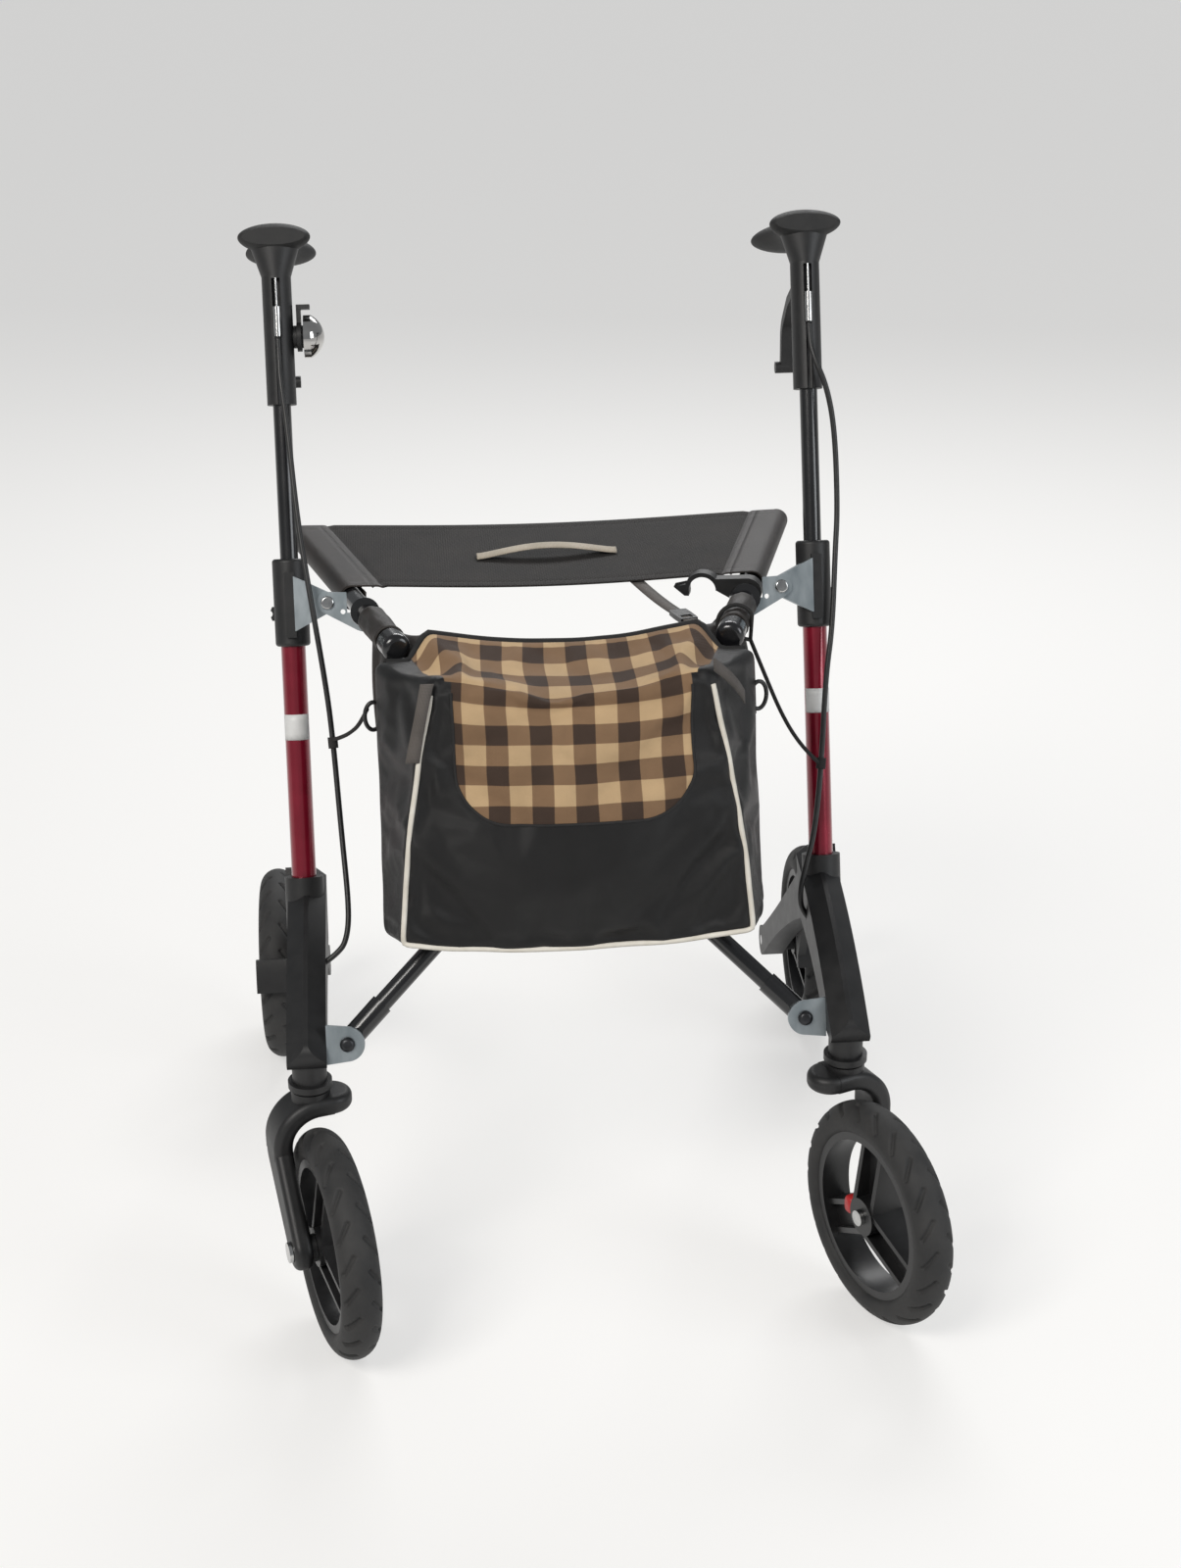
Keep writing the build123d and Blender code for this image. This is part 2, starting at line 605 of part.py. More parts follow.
def rivet():
    back = SEAT_Y + SIDE_GAP / 2 + BRACKET_T
    front = SEAT_Y - SIDE_GAP / 2 - BRACKET_T
    shank = disc_y(RIVET_D / 2, front - SIDE_GAP, back, RIVET_X, RIVET_Z)
    head = disc_y(RIVET_HEAD_D / 2, front - SIDE_GAP - 2.5, front - SIDE_GAP, RIVET_X, RIVET_Z)
    head = fillet(head.edges().sort_by(Axis.Y)[:1], 1.8)
    tail = disc_y(RIVET_HEAD_D / 2 - 1.5, back, back + 2, RIVET_X, RIVET_Z)
    return upright_frame * (shank + head + tail)


def seat_rest():
    collar_r = SEAT_COLLAR_D / 2 + SOFT_GAP
    outline = make_hull(
        (Pos(RIVET_X, RIVET_Z) * Circle(REST_BOSS_R)).edges()
        + (Pos(SEAT_X, SEAT_Z) * Circle(collar_r + 4)).edges()
    )
    outline -= Pos(SEAT_X, SEAT_Z) * Circle(collar_r)
    outline -= Pos(SEAT_X - 50 + 1, SEAT_Z) * Rectangle(100, 120)
    outline -= Pos(SEAT_X + REST_LIFT_ROOM / 2, SEAT_Z + 30) * Rectangle(2 * collar_r + REST_LIFT_ROOM, 60)
    hole_x = SEAT_X + collar_r + 6.2
    outline -= Pos(hole_x, SEAT_Z + 1) * Circle(REST_HOLE_D / 2)
    outline -= Pos(RIVET_X, RIVET_Z) * Circle(RIVET_D / 2 + RUN_FIT)
    front = SEAT_Y - SIDE_GAP / 2 - BRACKET_T
    return upright_frame * plate_y(outline, front, front + BRACKET_T)


def brace_y(side):
    """Depth of a brace's eye: the front brace is bolted to the right side."""
    return BOLT_Y + (BRACE_OFFSET if side > 0 else -BRACE_OFFSET)


def hinge_plate(side):
    outline = make_hull(
        (Pos(BOLT_X, BOLT_Z) * Circle(HINGE_PLATE_R)).edges()
        + (Pos(LEG_IN - 0.5, BOLT_Z) * Rectangle(1, HINGE_PLATE_H)).edges()
    )
    outline -= Pos(BOLT_X, BOLT_Z) * Circle(BOLT_D / 2)
    back = brace_y(side) - BRACE_EYE_T / 2 - SIDE_GAP
    plate = upright_frame * plate_y(outline, back - PLATE_T, back)
    return plate if side > 0 else mirror(plate, about=Plane.YZ)


def pivot_bolt(side):
    eye_front = brace_y(side) - BRACE_EYE_T / 2
    eye_back = brace_y(side) + BRACE_EYE_T / 2 + SIDE_GAP
    plate_front = eye_front - SIDE_GAP - PLATE_T
    shank = disc_y(BOLT_D / 2, plate_front, eye_back, BOLT_X, BOLT_Z)
    head = disc_y(BOLT_HEAD_D / 2, plate_front - 5, plate_front, BOLT_X, BOLT_Z)
    head = fillet(head.edges().sort_by(Axis.Y)[:1], 4)
    nut = disc_y(BOLT_HEAD_D / 2, eye_back, eye_back + 5, BOLT_X, BOLT_Z)
    bolt = upright_frame * (shank + head + nut)
    return bolt if side > 0 else mirror(bolt, about=Plane.YZ)


def brace(side, seat_tube):
    """A brace from the lower bolt of one side to the seat tube of the other."""
    y = brace_y(side)
    start = (side * BOLT_X, y, BOLT_Z)
    end = (-side * SEAT_X, y + SEAT_Y - BOLT_Y, SEAT_Z)
    axis = (Vector(*end) - Vector(*start)).normalized()
    boot_end = Vector(*start) + axis * BRACE_BOOT_L
    tube_end = Vector(*end) - axis * BRACE_D / 2
    tube = rod(start, tuple(tube_end), BRACE_D / 2)
    tube += rod(start, tuple(boot_end), BRACE_BOOT_D / 2)
    tube -= rod(tuple(boot_end), end, BRACE_D / 2 - BRACE_WALL)
    half_eye = BRACE_EYE_T / 2
    room = 2 * BRACE_EYE_D
    for low, high in ((y - half_eye - room, y - half_eye), (y + half_eye, y + half_eye + room)):
        tube -= disc_y(BRACE_EYE_D, low, high, start[0], BOLT_Z)
    tube += disc_y(BRACE_EYE_D / 2, y - half_eye, y + half_eye, start[0], BOLT_Z)
    tube -= disc_y(BOLT_D / 2 + RUN_FIT, y - room, y + room, start[0], BOLT_Z)
    pivot = pivot_height()
    fit = 0.0 if side < 0 else RUN_FIT
    tube -= disc_y(PIVOT_D / 2 + fit, pivot[0] - 60, pivot[0] + 60, 0, pivot[1])
    return (upright_frame * tube - seat_tube).solids().sort_by(SortBy.VOLUME)[-1]


def pivot_height():
    """Depth and height of the point where the braces cross."""
    share = BOLT_X / (BOLT_X + SEAT_X)
    return BOLT_Y + share * (SEAT_Y - BOLT_Y), BOLT_Z + share * (SEAT_Z - BOLT_Z)


def centre_pivot():
    y, z = pivot_height()
    half = BRACE_OFFSET + BRACE_D / 2 + 2.5
    pin = disc_y(PIVOT_D / 2, y - half, y + half, 0, z)
    for low in (y - half - 2.5, y + half):
        pin += disc_y(PIVOT_D / 2 + 2.5, low, low + 2.5, 0, z)
    return upright_frame * pin


# Seat, bag and their fittings


def seat_tube():
    tube = rod(seat_point(SEAT_FRONT_Y), seat_point(SEAT_REAR_Y), SEAT_TUBE_D / 2)
    step = SEAT_CAP_L * cos(radians(SEAT_SPLAY))
    cap = rod(seat_point(SEAT_FRONT_Y - 8), seat_point(SEAT_FRONT_Y - 8 + step), SEAT_CAP_D / 2)
    cap = fillet(cap.edges().filter_by(GeomType.CIRCLE).sort_by(Axis.Y)[:1], 6)
    end = rod(seat_point(SEAT_REAR_Y - 2), seat_point(SEAT_REAR_Y + 6), SEAT_END_D / 2)
    end = fillet(end.edges().filter_by(GeomType.CIRCLE).sort_by(Axis.Y)[-1:], 4)
    half = SEAT_COLLAR_L / 2
    collar = disc_y(SEAT_COLLAR_D / 2, SEAT_Y - half, SEAT_Y + half, SEAT_X, SEAT_Z)
    hollow = rod(seat_point(SEAT_FRONT_Y + 10), seat_point(SEAT_REAR_Y + 10), SEAT_TUBE_D / 2 - SEAT_TUBE_WALL)
    return tube + cap + end + upright_frame * collar - hollow


def seat_web():
    inner = SEAT_TUBE_D / 2 + SOFT_GAP
    outer = inner + WEB_SLEEVE_T
    low = SEAT_HEIGHT + inner
    corners = [
        (seat_x(WEB_FRONT_Y), WEB_FRONT_Y),
        (seat_x(WEB_REAR_Y), WEB_REAR_Y),
        (-seat_x(WEB_REAR_Y), WEB_REAR_Y),
        (-seat_x(WEB_FRONT_Y), WEB_FRONT_Y),
    ]
    web = Pos(0, 0, low) * extrude(make_face(Polyline(*corners, close=True)), WEB_T)
    near, far = seat_point(WEB_FRONT_Y), seat_point(WEB_REAR_Y)
    sleeve = rod(near, far, outer) - rod(near, far, inner)
    web += sleeve + mirror(sleeve, about=Plane.YZ)
    bore = rod(seat_point(WEB_FRONT_Y - 30), seat_point(WEB_REAR_Y + 30), inner)
    return web - bore - mirror(bore, about=Plane.YZ)


def pull_strap():
    low = SEAT_HEIGHT + SEAT_TUBE_D / 2 + SOFT_GAP + WEB_T + SIDE_GAP
    outer = ThreePointArc((-STRAP_HALF, low), (0, low + STRAP_RISE), (STRAP_HALF, low))
    inner = ThreePointArc(
        (STRAP_HALF - 4, low), (0, low + STRAP_RISE - STRAP_T), (-STRAP_HALF + 4, low)
    )
    edges = [outer, Line((STRAP_HALF, low), (STRAP_HALF - 4, low)), inner]
    edges.append(Line((-STRAP_HALF + 4, low), (-STRAP_HALF, low)))
    return plate_y(make_face(edges), STRAP_Y - STRAP_W / 2, STRAP_Y + STRAP_W / 2)


def lock_hook():
    """A hook that turns on the left seat tube and drops over the right one when folded."""
    reach = HOOK_REACH
    ring = Circle(HOOK_RING_R)
    neck = Pos(reach - HOOK_NOTCH_R, HOOK_NECK_H) * Circle(HOOK_NECK_R)
    arm = make_face(make_hull(ring.edges() + neck.edges()))
    arch = Pos(reach, 0) * (Circle(HOOK_NOTCH_R + HOOK_ARCH_T) - Circle(HOOK_NOTCH_R))
    arm += arch & Pos(reach, HOOK_RING_R) * Rectangle(4 * HOOK_NOTCH_R, 2 * HOOK_RING_R)
    nose_start = reach + HOOK_NOTCH_R
    nose = Polyline(
        (nose_start - 1, HOOK_NECK_H),
        (nose_start + HOOK_NOSE_L, 2),
        (nose_start + HOOK_ARCH_T, -HOOK_NECK_H),
        (nose_start, -HOOK_NECK_H),
        close=True,
    )
    arm += make_face(nose)
    arm -= Pos(reach, 0) * Circle(HOOK_NOTCH_R)
    arm -= Circle(SEAT_TUBE_D / 2 + RUN_FIT)
    along = (Vector(*seat_point(100)) - Vector(*seat_point(0))).normalized()
    plane = Plane(origin=seat_point(HOOK_Y), x_dir=(-along.Y, along.X, 0), z_dir=along)
    return plane.location * (Pos(0, 0, -HOOK_T / 2) * extrude(arm, HOOK_T))


def bag_panel(top, low, top_half, low_half, inset=0.0):
    """A cloth panel with rounded corners, leaning between its top and low edges."""
    rise = Vector(0, top[0] - low[0], top[1] - low[1])
    plane = Plane(origin=(0, *low), x_dir=(1, 0, 0), z_dir=Vector(1, 0, 0).cross(rise))
    height = rise.length - inset
    top_x, low_x = top_half - inset, low_half - inset
    outline = make_face(Polyline((-low_x, inset), (low_x, inset), (top_x, height), (-top_x, height), close=True))
    return plane * fillet(outline.vertices(), BAG_ROUND)


def bag():
    front = bag_panel(BAG_FRONT_TOP, BAG_FRONT_LOW, BAG_TOP_HALF, BAG_LOW_HALF)
    rear = bag_panel(BAG_REAR_TOP, BAG_REAR_LOW, BAG_REAR_HALF, BAG_REAR_HALF)
    face = Pos(0, -BAG_PUFF, 0) * bag_panel(BAG_FRONT_TOP, BAG_FRONT_LOW, BAG_TOP_HALF, BAG_LOW_HALF, BAG_PUFF)
    body = loft([face, front, rear], ruled=True)
    dip_r = (BAG_TOP_HALF**2 + BAG_DIP_FRONT**2) / (2 * BAG_DIP_FRONT)
    dip_front = (0, BAG_FRONT_TOP[0] - BAG_PUFF, BAG_FRONT_TOP[1] + dip_r - BAG_DIP_FRONT)
    dip_rear = (0, BAG_REAR_TOP[0] + BAG_PUFF, BAG_REAR_TOP[1] + dip_r - BAG_DIP_REAR)
    body -= rod(dip_front, dip_rear, dip_r)
    inner = SEAT_TUBE_D / 2 + SOFT_GAP
    behind_cap = SEAT_FRONT_Y - 8 + SEAT_CAP_L * cos(radians(SEAT_SPLAY)) + SOFT_GAP
    far = behind_cap + BAG_LOOP_L
    loop = rod(seat_point(behind_cap), seat_point(far), inner + BAG_LOOP_T)
    drop = SEAT_HEIGHT - inner - BAG_REAR_TOP[1] + 30
    length = (far - BAG_REAR_TOP[0] + 6) / cos(radians(SEAT_SPLAY))
    tab = Box(BAG_TAB_T, length, drop, align=(Align.CENTER, Align.MAX, Align.MAX))
    x, y, z = seat_point(far)
    loop += Pos(x, y, z - SEAT_CAP_D / 2 - SOFT_GAP) * Rot(0, 0, -SEAT_SPLAY) * tab
    neck = Box(BAG_TAB_T, BAG_LOOP_L, SEAT_CAP_D / 2 + SOFT_GAP, align=(Align.CENTER, Align.MAX, Align.MAX))
    loop += Pos(x, y, z) * Rot(0, 0, -SEAT_SPLAY) * neck
    body += loop + mirror(loop, about=Plane.YZ)
    bore = rod(seat_point(behind_cap - 1), seat_point(far + 30), inner)
    cap_room = rod(seat_point(SEAT_FRONT_Y - 40), seat_point(behind_cap), SEAT_CAP_D / 2 + SOFT_GAP)
    for cut in (bore, cap_room):
        body = body - cut - mirror(cut, about=Plane.YZ)
    return body


def bell_form(radius, depth):
    """A solid dome along X with a short straight rim and a cap whose centre lies on the axis."""
    rim = depth * 0.35
    centre = (depth**2 - rim**2 - radius**2) / (2 * (depth - rim))
    half_turn = atan2(radius, rim - centre) / 2
    middle = (centre + (depth - centre) * cos(half_turn), (depth - centre) * sin(half_turn))
    edges = [
        Line((0, 0), (0, radius)),
        Line((0, radius), (rim, radius)),
        ThreePointArc((rim, radius), middle, (depth, 0)),
        Line((depth, 0), (0, 0)),
    ]
    return revolve(make_face(edges), Axis.X)


def bell_parts():
    """Base, dome and thumb lever, on the inner side of the right handle."""
    wall = -UPRIGHT_X + SLEEVE_W / 2
    seat = wall + BELL_BASE_T
    sleeve = Pos(-UPRIGHT_X, SLEEVE_SET_BACK, SLEEVE_LOW) * extrude(
        Ellipse(SLEEVE_W / 2, SLEEVE_DEPTH / 2), GRIP_Z - SLEEVE_LOW
    )
    base = disc_x(BELL_BASE_D / 2, wall - 6, seat, BELL_Y, BELL_Z)
    base += disc_x(BELL_STEM_D / 2, seat, seat + BELL_DEPTH - BELL_WALL, BELL_Y, BELL_Z)
    base -= sleeve
    dome_form = bell_form(BELL_D / 2, BELL_DEPTH) - bell_form(BELL_D / 2 - BELL_WALL, BELL_DEPTH - BELL_WALL)
    dome = Pos(seat, BELL_Y, BELL_Z) * dome_form
    ring_r = BELL_BASE_D / 2 + 3
    middle = wall + BELL_BASE_T * 0.55
    lever = disc_x(ring_r, middle - BELL_LEVER_T / 2, middle + BELL_LEVER_T / 2, BELL_Y, BELL_Z)
    arm = Pos(middle, BELL_Y, BELL_Z) * Box(BELL_LEVER_T, 9, BELL_LEVER_L, align=BASE)
    thumb = Pos(middle + 4, BELL_Y, BELL_Z + BELL_LEVER_L - 2) * Box(12, 10, 4, align=BASE)
    lever = lever + arm + thumb
    groove = disc_x(BELL_BASE_D, middle - BELL_LEVER_T / 2 - 0.3, middle + BELL_LEVER_T / 2 + 0.3, BELL_Y, BELL_Z)
    core_r = BELL_BASE_D / 2 - 3
    core = disc_x(core_r, wall - 6, seat, BELL_Y, BELL_Z)
    base = base - (groove - core) - dome
    lever -= disc_x(core_r + RUN_FIT, wall - 20, seat + 20, BELL_Y, BELL_Z)
    return upright_frame * base, upright_frame * dome, upright_frame * lever


# Brake cables and ties, as points of the leaning frame

RIGHT_CABLE = (
    (-236.0, -13.5, 845.0),
    (-236.0, -13.5, 826.0),
    (-235.5, -17.5, 806.0),
    (-231.5, -20.0, 770.0),
    (-226.0, -27.0, 684.0),
    (-218.5, -34.0, 624.0),
    (-207.0, -37.0, 537.0),
    (-203.0, -38.0, 489.0),
    (-199.0, -46.0, 407.0),
    (-195.0, -60.0, 347.0),
    (-196.5, -66.0, 320.0),
    (-204.0, -68.0, 303.0),
    (-226.0, -66.0, 290.0),
)
LEFT_CABLE = (
    (236.0, -13.5, 845.0),
    (236.0, -13.5, 828.0),
    (240.0, -18.5, 810.0),
    (250.0, -18.5, 785.0),
    (256.5, -15.0, 747.0),
    (257.5, -13.0, 677.0),
    (254.0, -15.0, 640.0),
    (249.0, -19.0, 571.0),
    (241.5, -20.0, 527.0),
    (235.5, -19.5, 447.0),
    (227.0, -23.0, 385.0),
    (217.0, -28.0, 356.0),
    (211.0, -29.0, 333.0),
    (213.0, -25.0, 314.0),
    (226.0, -20.0, 300.0),
)
RIGHT_TIE = (
    (-170.0, -118.0, 520.0),
    (-177.0, -100.0, 506.0),
    (-187.0, -78.0, 497.0),
    (-196.0, -56.0, 492.0),
    (-203.0, -38.0, 489.0),
)
LEFT_TIE = (
    (166.0, -78.0, 565.0),
    (180.0, -66.0, 532.0),
    (194.0, -54.0, 500.0),
    (208.0, -42.0, 476.0),
    (224.0, -30.0, 457.0),
    (235.5, -19.5, 447.0),
)


def cord(points, diameter, name):
    """A round cord on straight runs joined by arcs as large as the runs allow."""
    places = [Vector(*p) for p in points]
    radii = []
    for a, b, c in zip(places, places[1:], places[2:]):
        turn = radians((b - a).get_angle(c - b))
        radii.append(0.45 * min((b - a).length, (c - b).length) / tan(turn / 2))
    print(name, "radii", [round(r, 1) for r in radii])
    path = FilletPolyline(*places, radius=radii)
    start = Plane(origin=places[0], z_dir=places[1] - places[0])
    body = sweep(start * Circle(diameter / 2), path=path)
    print(name, "length", round(path.length, 1), "volume ratio", round(
        body.volume / (path.length * 3.14159265 * diameter**2 / 4), 4))
    return upright_frame * body


def tie(points, cable_points, name):
    """A cloth tie that ends in a small clip round the brake cable."""
    end = points[-1]
    nearest = cable_points.index(end)
    along = (Vector(*cable_points[nearest + 1]) - Vector(*cable_points[nearest - 1])).normalized()
    low, high = Vector(*end) - along * CLIP_L / 2, Vector(*end) + along * CLIP_L / 2
    clip = upright_frame * rod(tuple(low), tuple(high), CABLE_D / 2 + CLIP_T)
    return cord(points, TIE_D, name) + clip


# Build

both_sides("frame_tube", frame_tube())
both_sides("clamp_collar", clamp_collar())
both_sides("clamp_knob", clamp_knob())
both_sides("rear_axle", rear_axle())
both_sides("brake_shoe", brake_shoe())
both_sides("handle_tube", handle_tube())
both_sides("handle_body", handle_body())
both_sides("grip", grip())
both_sides("brake_lever", brake_lever())
both_sides("cable_adjuster", cable_adjuster())
both_sides("hinge_bracket", hinge_bracket())
both_sides("rivet", rivet())
both_sides("seat_rest", seat_rest())

wheel, rubber = wheel_hub(), tyre()
left_fork, left_axle = fork(), front_axle()
for side, name in ((1, "left"), (-1, "right")):
    place = caster_place(side)
    front_wheel = place * Pos(0, -TRAIL, WHEEL_R)
    back_wheel = Pos(side * REAR_WHEEL_X, REAR_AXLE_Y, WHEEL_R)
    mirrored = side < 0
    export_step(place * (mirror(left_fork, about=Plane.YZ) if mirrored else left_fork), f"parts/{name}_fork.step")
    export_step(place * (mirror(left_axle, about=Plane.YZ) if mirrored else left_axle), f"parts/{name}_front_axle.step")
    export_step(front_wheel * wheel, f"parts/{name}_front_hub.step")
    export_step(front_wheel * rubber, f"parts/{name}_front_tyre.step")
    export_step(back_wheel * wheel, f"parts/{name}_rear_hub.step")
    export_step(back_wheel * rubber, f"parts/{name}_rear_tyre.step")
    export_step(hinge_plate(side), f"parts/{name}_hinge_plate.step")
    export_step(pivot_bolt(side), f"parts/{name}_pivot_bolt.step")

left_seat_tube = seat_tube()
right_seat_tube = mirror(left_seat_tube, about=Plane.YZ)
export_step(left_seat_tube, "parts/left_seat_tube.step")
export_step(right_seat_tube, "parts/right_seat_tube.step")
export_step(brace(-1, left_seat_tube), "parts/front_brace.step")
export_step(brace(1, right_seat_tube), "parts/rear_brace.step")
export_step(centre_pivot(), "parts/centre_pivot.step")
export_step(seat_web(), "parts/seat_web.step")
export_step(pull_strap(), "parts/pull_strap.step")
export_step(lock_hook(), "parts/lock_hook.step")
export_step(bag(), "parts/bag.step")
bell_base, bell_dome, bell_lever = bell_parts()
export_step(bell_base, "parts/bell_base.step")
export_step(bell_dome, "parts/bell_dome.step")
export_step(bell_lever, "parts/bell_lever.step")
left_cable = cord(LEFT_CABLE, CABLE_D, "left_brake_cable")
right_cable = cord(RIGHT_CABLE, CABLE_D, "right_brake_cable")
left_leg = lower_leg()
export_step(left_cable, "parts/left_brake_cable.step")
export_step(right_cable, "parts/right_brake_cable.step")
export_step(left_leg - left_cable, "parts/left_lower_leg.step")
export_step(mirror(left_leg, about=Plane.YZ) - right_cable, "parts/right_lower_leg.step")
export_step(tie(LEFT_TIE, LEFT_CABLE, "left_tie") - left_cable, "parts/left_tie.step")
export_step(tie(RIGHT_TIE, RIGHT_CABLE, "right_tie") - right_cable, "parts/right_tie.step")
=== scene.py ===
# %% [markdown]
# # A folding rollator, dressed over its CAD frame
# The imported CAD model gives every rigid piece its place. This script adds what CAD leaves plain: finishes,
# tyre tread, the woven seat, the bag that sags between the seat tubes, and the cords. Everything is in
# metres, with +Z up and the front of the walking frame towards -Y.

# %% Load the frame
import bpy
import json
import math
from mathutils import Matrix, Vector, noise


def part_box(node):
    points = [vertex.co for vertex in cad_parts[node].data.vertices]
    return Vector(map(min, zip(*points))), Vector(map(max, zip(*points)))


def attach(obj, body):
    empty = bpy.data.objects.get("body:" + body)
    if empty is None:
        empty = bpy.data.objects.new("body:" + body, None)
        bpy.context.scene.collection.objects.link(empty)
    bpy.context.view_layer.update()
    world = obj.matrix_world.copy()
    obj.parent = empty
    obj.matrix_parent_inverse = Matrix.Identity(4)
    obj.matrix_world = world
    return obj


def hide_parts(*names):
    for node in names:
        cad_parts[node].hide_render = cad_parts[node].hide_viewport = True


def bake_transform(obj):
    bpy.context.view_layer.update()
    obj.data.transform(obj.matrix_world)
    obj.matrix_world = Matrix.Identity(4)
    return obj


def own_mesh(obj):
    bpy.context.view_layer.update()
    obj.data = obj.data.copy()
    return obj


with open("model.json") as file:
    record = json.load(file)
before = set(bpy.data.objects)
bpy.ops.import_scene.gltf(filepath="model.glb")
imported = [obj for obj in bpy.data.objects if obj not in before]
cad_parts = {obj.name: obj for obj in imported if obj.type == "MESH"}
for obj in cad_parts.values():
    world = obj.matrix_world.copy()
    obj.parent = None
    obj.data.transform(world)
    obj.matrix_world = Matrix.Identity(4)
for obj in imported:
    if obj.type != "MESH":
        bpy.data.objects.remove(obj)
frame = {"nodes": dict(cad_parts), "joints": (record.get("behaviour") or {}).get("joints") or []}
nodes = frame["nodes"]
joints = {joint["name"]: joint for joint in frame["joints"]}
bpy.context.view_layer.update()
scene = bpy.context.scene

# %% [markdown]
# ## Camera
# The photograph looks down on the object from in front. A camera is a position, a turn and a lens. The three
# directions of the picture (right, up and into the scene) make the camera's matrix, so no helper object or
# tracking is needed.

# %% Camera at the photograph's angle
camera_place = Vector((-0.125, -2.061, 1.259))
camera_turn = math.radians(-4.27)
camera_dip = math.radians(22.47)
camera_roll = math.radians(-0.78)
level_right = Vector((math.cos(camera_turn), math.sin(camera_turn), 0))
level_ahead = Vector((-math.sin(camera_turn), math.cos(camera_turn), 0))
ahead = math.cos(camera_dip) * level_ahead - math.sin(camera_dip) * Vector((0, 0, 1))
level_up = math.sin(camera_dip) * level_ahead + math.cos(camera_dip) * Vector((0, 0, 1))
picture_right = math.cos(camera_roll) * level_right + math.sin(camera_roll) * level_up
picture_up = -math.sin(camera_roll) * level_right + math.cos(camera_roll) * level_up
camera_data = bpy.data.cameras.new("photo_camera")
camera_data.sensor_width = 36
camera_data.lens = 55.6
camera_data.clip_end = 200
camera = bpy.data.objects.new("photo_camera", camera_data)
scene.collection.objects.link(camera)
columns = (picture_right, picture_up, -ahead)
camera.matrix_world = Matrix(
    [[column[row] for column in columns] + [camera_place[row]] for row in range(3)] + [[0, 0, 0, 1]]
)
scene.camera = camera
scene.view_settings.view_transform = "Standard"
print("camera lens", camera_data.lens)

# %% [markdown]
# ## Studio
# A wide pale floor fills the picture behind the object. Its own colour is a mid grey that takes the shadow,
# and rays that come from the camera or a mirror-like surface also see an even glow on it, so the background
# stays pale to the horizon without any more light on the object. Three soft lamps light the object: a key
# from the upper left, a weaker fill from the right and a strip behind that draws the edges of the tubes.

# %% Helpers for materials


def new_material(name):
    """A material with nodes, its main shader and its node tree."""
    material = bpy.data.materials.new(name)
    material.use_nodes = True
    return material, material.node_tree.nodes["Principled BSDF"], material.node_tree


def feed(tree, node, sockets):
    """Sets numbers and colours straight on a node's inputs, and links the inputs that other nodes drive."""
    for key, value in sockets.items():
        if isinstance(value, bpy.types.NodeSocket):
            tree.links.new(value, node.inputs[key])
        else:
            node.inputs[key].default_value = value


def add_node(tree, kind, sockets=None, **settings):
    """A shader node with its settings, and what is fed to its inputs."""
    made = tree.nodes.new(kind)
    for key, value in settings.items():
        setattr(made, key, value)
    feed(tree, made, sockets or {})
    return made


def maths(tree, operation, *values):
    """The result of one step of arithmetic on numbers and on other nodes' results."""
    return add_node(tree, "ShaderNodeMath", dict(enumerate(values)), operation=operation).outputs["Value"]


# %% Floor
FLOOR_REACH, FLOOR_GLOW = 40, 0.5
floor_mesh = bpy.data.meshes.new("studio_floor")
floor_corners = [(-1, -1), (1, -1), (1, 1), (-1, 1)]
floor_mesh.from_pydata([(FLOOR_REACH * x, FLOOR_REACH * y, 0) for x, y in floor_corners], [], [(0, 1, 2, 3)])
floor = bpy.data.objects.new("studio_floor", floor_mesh)
scene.collection.objects.link(floor)
floor_finish, floor_shader, tree = new_material("pale_floor")
rays = add_node(tree, "ShaderNodeLightPath").outputs
seen = maths(tree, "MAXIMUM", rays["Is Camera Ray"], rays["Is Glossy Ray"])
shown = maths(tree, "MAXIMUM", seen, rays["Is Transmission Ray"])
feed(tree, floor_shader, {
    "Base Color": (0.46, 0.455, 0.445, 1), "Roughness": 0.7, "Emission Color": (1.0, 0.99, 0.975, 1),
    "Emission Strength": maths(tree, "MULTIPLY", shown, FLOOR_GLOW),
})
floor_mesh.materials.append(floor_finish)
print("floor", 2 * FLOOR_REACH, "m wide")

# %% Lamps


def soft_lamp(name, place, target, size, power, colour):
    """A flat lamp at a place that faces a target."""
    data = bpy.data.lights.new(name, "AREA")
    data.shape = "RECTANGLE"
    data.size, data.size_y = size
    data.energy = power
    data.color = colour
    lamp = bpy.data.objects.new(name, data)
    lamp.location = place
    lamp.rotation_euler = (Vector(target) - Vector(place)).to_track_quat("-Z", "Y").to_euler()
    scene.collection.objects.link(lamp)


soft_lamp("key_lamp", (-1.7, -2.3, 2.7), (0, 0, 0.45), (1.6, 1.2), 78, (1.0, 0.97, 0.93))
soft_lamp("fill_lamp", (2.3, -1.6, 1.5), (0, 0, 0.5), (1.4, 1.4), 26, (0.94, 0.97, 1.0))
soft_lamp("edge_lamp", (0.6, 2.4, 2.3), (0, 0, 0.6), (2.2, 0.8), 44, (1.0, 1.0, 1.0))
AIR_LIGHT, AIR_PALER = 0.3, 0.4
world = bpy.data.worlds.new("studio_air")
world.use_nodes = True
air = world.node_tree
from_camera = add_node(air, "ShaderNodeLightPath").outputs["Is Camera Ray"]
strength = maths(air, "MULTIPLY_ADD", from_camera, AIR_PALER, AIR_LIGHT)
feed(air, air.nodes["Background"], {"Color": (0.9, 0.93, 0.96, 1), "Strength": strength})
scene.world = world

